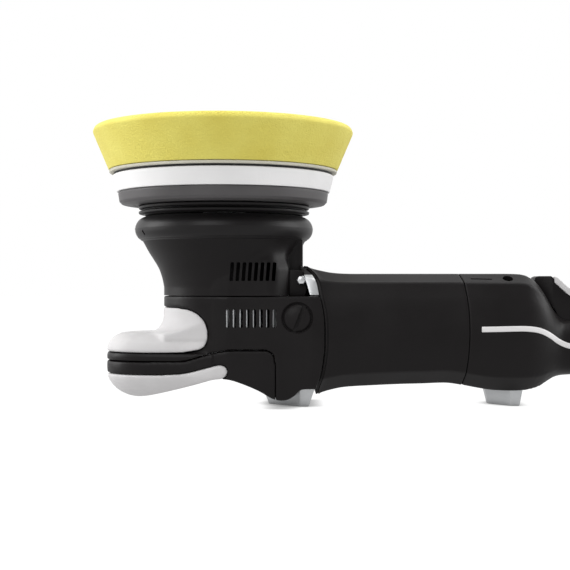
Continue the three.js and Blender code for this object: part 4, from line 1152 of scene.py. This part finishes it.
piece(joined("trigger_paddle", paddle, lug, post), "trigger", "black_plastic", "trigger", angle=30)
finger = prism("finger", filleted([(188.7, 69.6), (197, 62.2), (210, 58.9), (235, 56.9), (250.3, 56.5), (250.3, 58.9),
    (235, 59.9), (210, 62.6), (197, 66.5), (190, 72.9), (188.7, 73)], [0.5, 4, 8, 8, 0.5, 1, 8, 8, 6, 1, 0.6]), "y",
    -TRIGGER_HALF + 0.1, TRIGGER_HALF - 0.1)
piece(bevelled(finger, 0.8, 4), "trigger", "light_grip", "trigger_pad", angle=40)

back, front = -high("lock_button").y, -low("lock_button").y
lock = turned_on("lock_cap", [(0, back), (2.4, back), (2.4, 12.4), (LOCK_R, 12.6), (LOCK_R, front - 0.9),
    (LOCK_R - 0.7, front - 0.15), (LOCK_R - 1.6, front), (LOCK_R - 2.4, front - 0.35), (0, front - 0.6)],
    (LOCK_X, 0, LOCK_Z), (0, -1, 0), 64)
piece(lock, "lock", "control_plastic", "lock_button", angle=30)

teeth = 32
wheel_outline = []
for i in range(teeth):
    for share, r in ((0, DIAL_R - 0.9), (0.25, DIAL_R - 0.9), (0.4, DIAL_R - 0.05), (0.8, DIAL_R - 0.05)):
        turn = 2 * pi * (i + share) / teeth
        wheel_outline.append((DIAL_X + r * cos(turn), DIAL_Z + r * sin(turn)))
wheel = bevelled(prism("wheel", wheel_outline, "y", -3, 3), 0.3, 2, 50)
axle = rod("axle", 2, DIAL_LOW.y, DIAL_HIGH.y, (DIAL_X, 0, DIAL_Z), (0, 1, 0), 32)
piece(joined("dial_wheel", wheel, axle), "dial", "control_plastic", "speed_dial", angle=30)

gland_end = high("cord_gland").x
gland = turned_on("gland", [(4, 320.5), (0, 320.5), (0, 316.2), (5.9, 316.2), (5.9, 326.2), (8.6, 326.2), (8.9, 327),
    (8.7, 329.6), (7.9, 330), (7.9, 331), (8, 331.6), (7.3, 332.2), (7.2, 333), (7.5, 333.7), (6.9, 334.3),
    (6.7, 335.4), (6.9, 336.2), (6.5, gland_end - 0.1), (4.6, gland_end - 0.1), (4, gland_end - 0.6), (4, 320.5)],
    (0, 0, GLAND_Z), (1, 0, 0), 72)
piece(gland, "machine", "black_rubber", "cord_gland", angle=40)

# ---- studio ----
floor_mesh = bpy.data.meshes.new("floor")
floor_mesh.from_pydata([(-6, -6, 0), (6, -6, 0), (6, 6, 0), (-6, 6, 0)], [], [(0, 1, 2, 3)])
floor = in_scene("floor", floor_mesh)
floor_glow_painted_shadow, tree, principled = shader("floor_glow_painted_shadow", 0.8, specular=0)
speck = texture(tree, "Noise", 20, 2)
link(ramp(speck.outputs["Fac"], [(0.3, grey(0.05)), (0.7, grey(0.055))]), principled, "Base Color")
# Painted contact shadow: ambient occlusion within 8.5 mm darkens the floor's glow, so the shade under the feet and
# the head is painted into the floor
near = added(tree, "AmbientOcclusion", Distance=0.0085)
near.samples = 16
# Painted shadow fades out along x towards the palm grip, so no painted shade lies under the keel
along = added(tree, "SeparateXYZ")
link(added(tree, "NewGeometry").outputs["Position"], along, "Vector")
clear = added(tree, "MapRange", From_Min=-0.024, From_Max=-0.036)
link(along.outputs["X"], clear, "Value")
painted_shadow_openness = added(tree, "Math")
painted_shadow_openness.operation = "MAXIMUM"
link(near.outputs["AO"], painted_shadow_openness, 0)
link(clear.outputs["Result"], painted_shadow_openness, 1)
# Floor glow colour, dark where the contact shadow is painted and white on the open floor
glow_with_painted_shadow = ramp(painted_shadow_openness.outputs["Value"], [(0, grey(0.06)), (0.4, grey(0.45)), (0.8, grey(0.92)), (0.95, grey(1))])
link(glow_with_painted_shadow, principled, "Emission Color")
power = added(tree, "MapRange", To_Min=0.7, To_Max=1.02)
link(added(tree, "LightPath").outputs["Is Camera Ray"], power, "Value")
link(power.outputs["Result"], principled, "Emission Strength")
floor_mesh.materials.append(floor_glow_painted_shadow)

world = bpy.data.worlds.new("studio")
SCENE.world = world
world.use_nodes = True
tree = world.node_tree
tree.nodes.clear()
split = added(tree, "SeparateXYZ")
link(added(tree, "TexCoord").outputs["Generated"], split, "Vector")
facing = added(tree, "MapRange", From_Min=-1, From_Max=0.6, To_Min=0.2, To_Max=1.2)
link(split.outputs["Y"], facing, "Value")
lit = added(tree, "Background", Color=(1, 1, 1, 1))
link(facing.outputs["Result"], lit, "Strength")
plain = added(tree, "Background", Color=(1, 1, 1, 1), Strength=1)
mix = added(tree, "MixShader")
link(added(tree, "LightPath").outputs["Is Camera Ray"], mix, "Fac")
link(lit.outputs["Background"], mix, 1)
link(plain.outputs["Background"], mix, 2)
output = added(tree, "OutputWorld")
link(mix.outputs["Shader"], output, "Surface")


def softbox(name, at, target, width, height, watts):
    data = bpy.data.lights.new(name, "AREA")
    data.shape = "RECTANGLE"
    data.size, data.size_y = width, height
    data.energy = watts
    lamp = in_scene(name, data)
    lamp.location = at
    lamp.rotation_euler = (Vector(target) - Vector(at)).to_track_quat("-Z", "Y").to_euler()


softbox("top_light", (0, -0.15, 1.1), (0, 0, 0.05), 1.2, 0.9, 8.5)
softbox("front_light", (-0.45, -1.3, 0.75), (0, 0, 0.08), 0.9, 0.7, 8)
softbox("left_light", (-1.2, 0.1, 0.45), (0, 0, 0.1), 0.6, 0.9, 9.5)
softbox("right_light", (1.2, 0.1, 0.45), (0, 0, 0.1), 0.6, 0.9, 7)

bpy.context.view_layer.update()
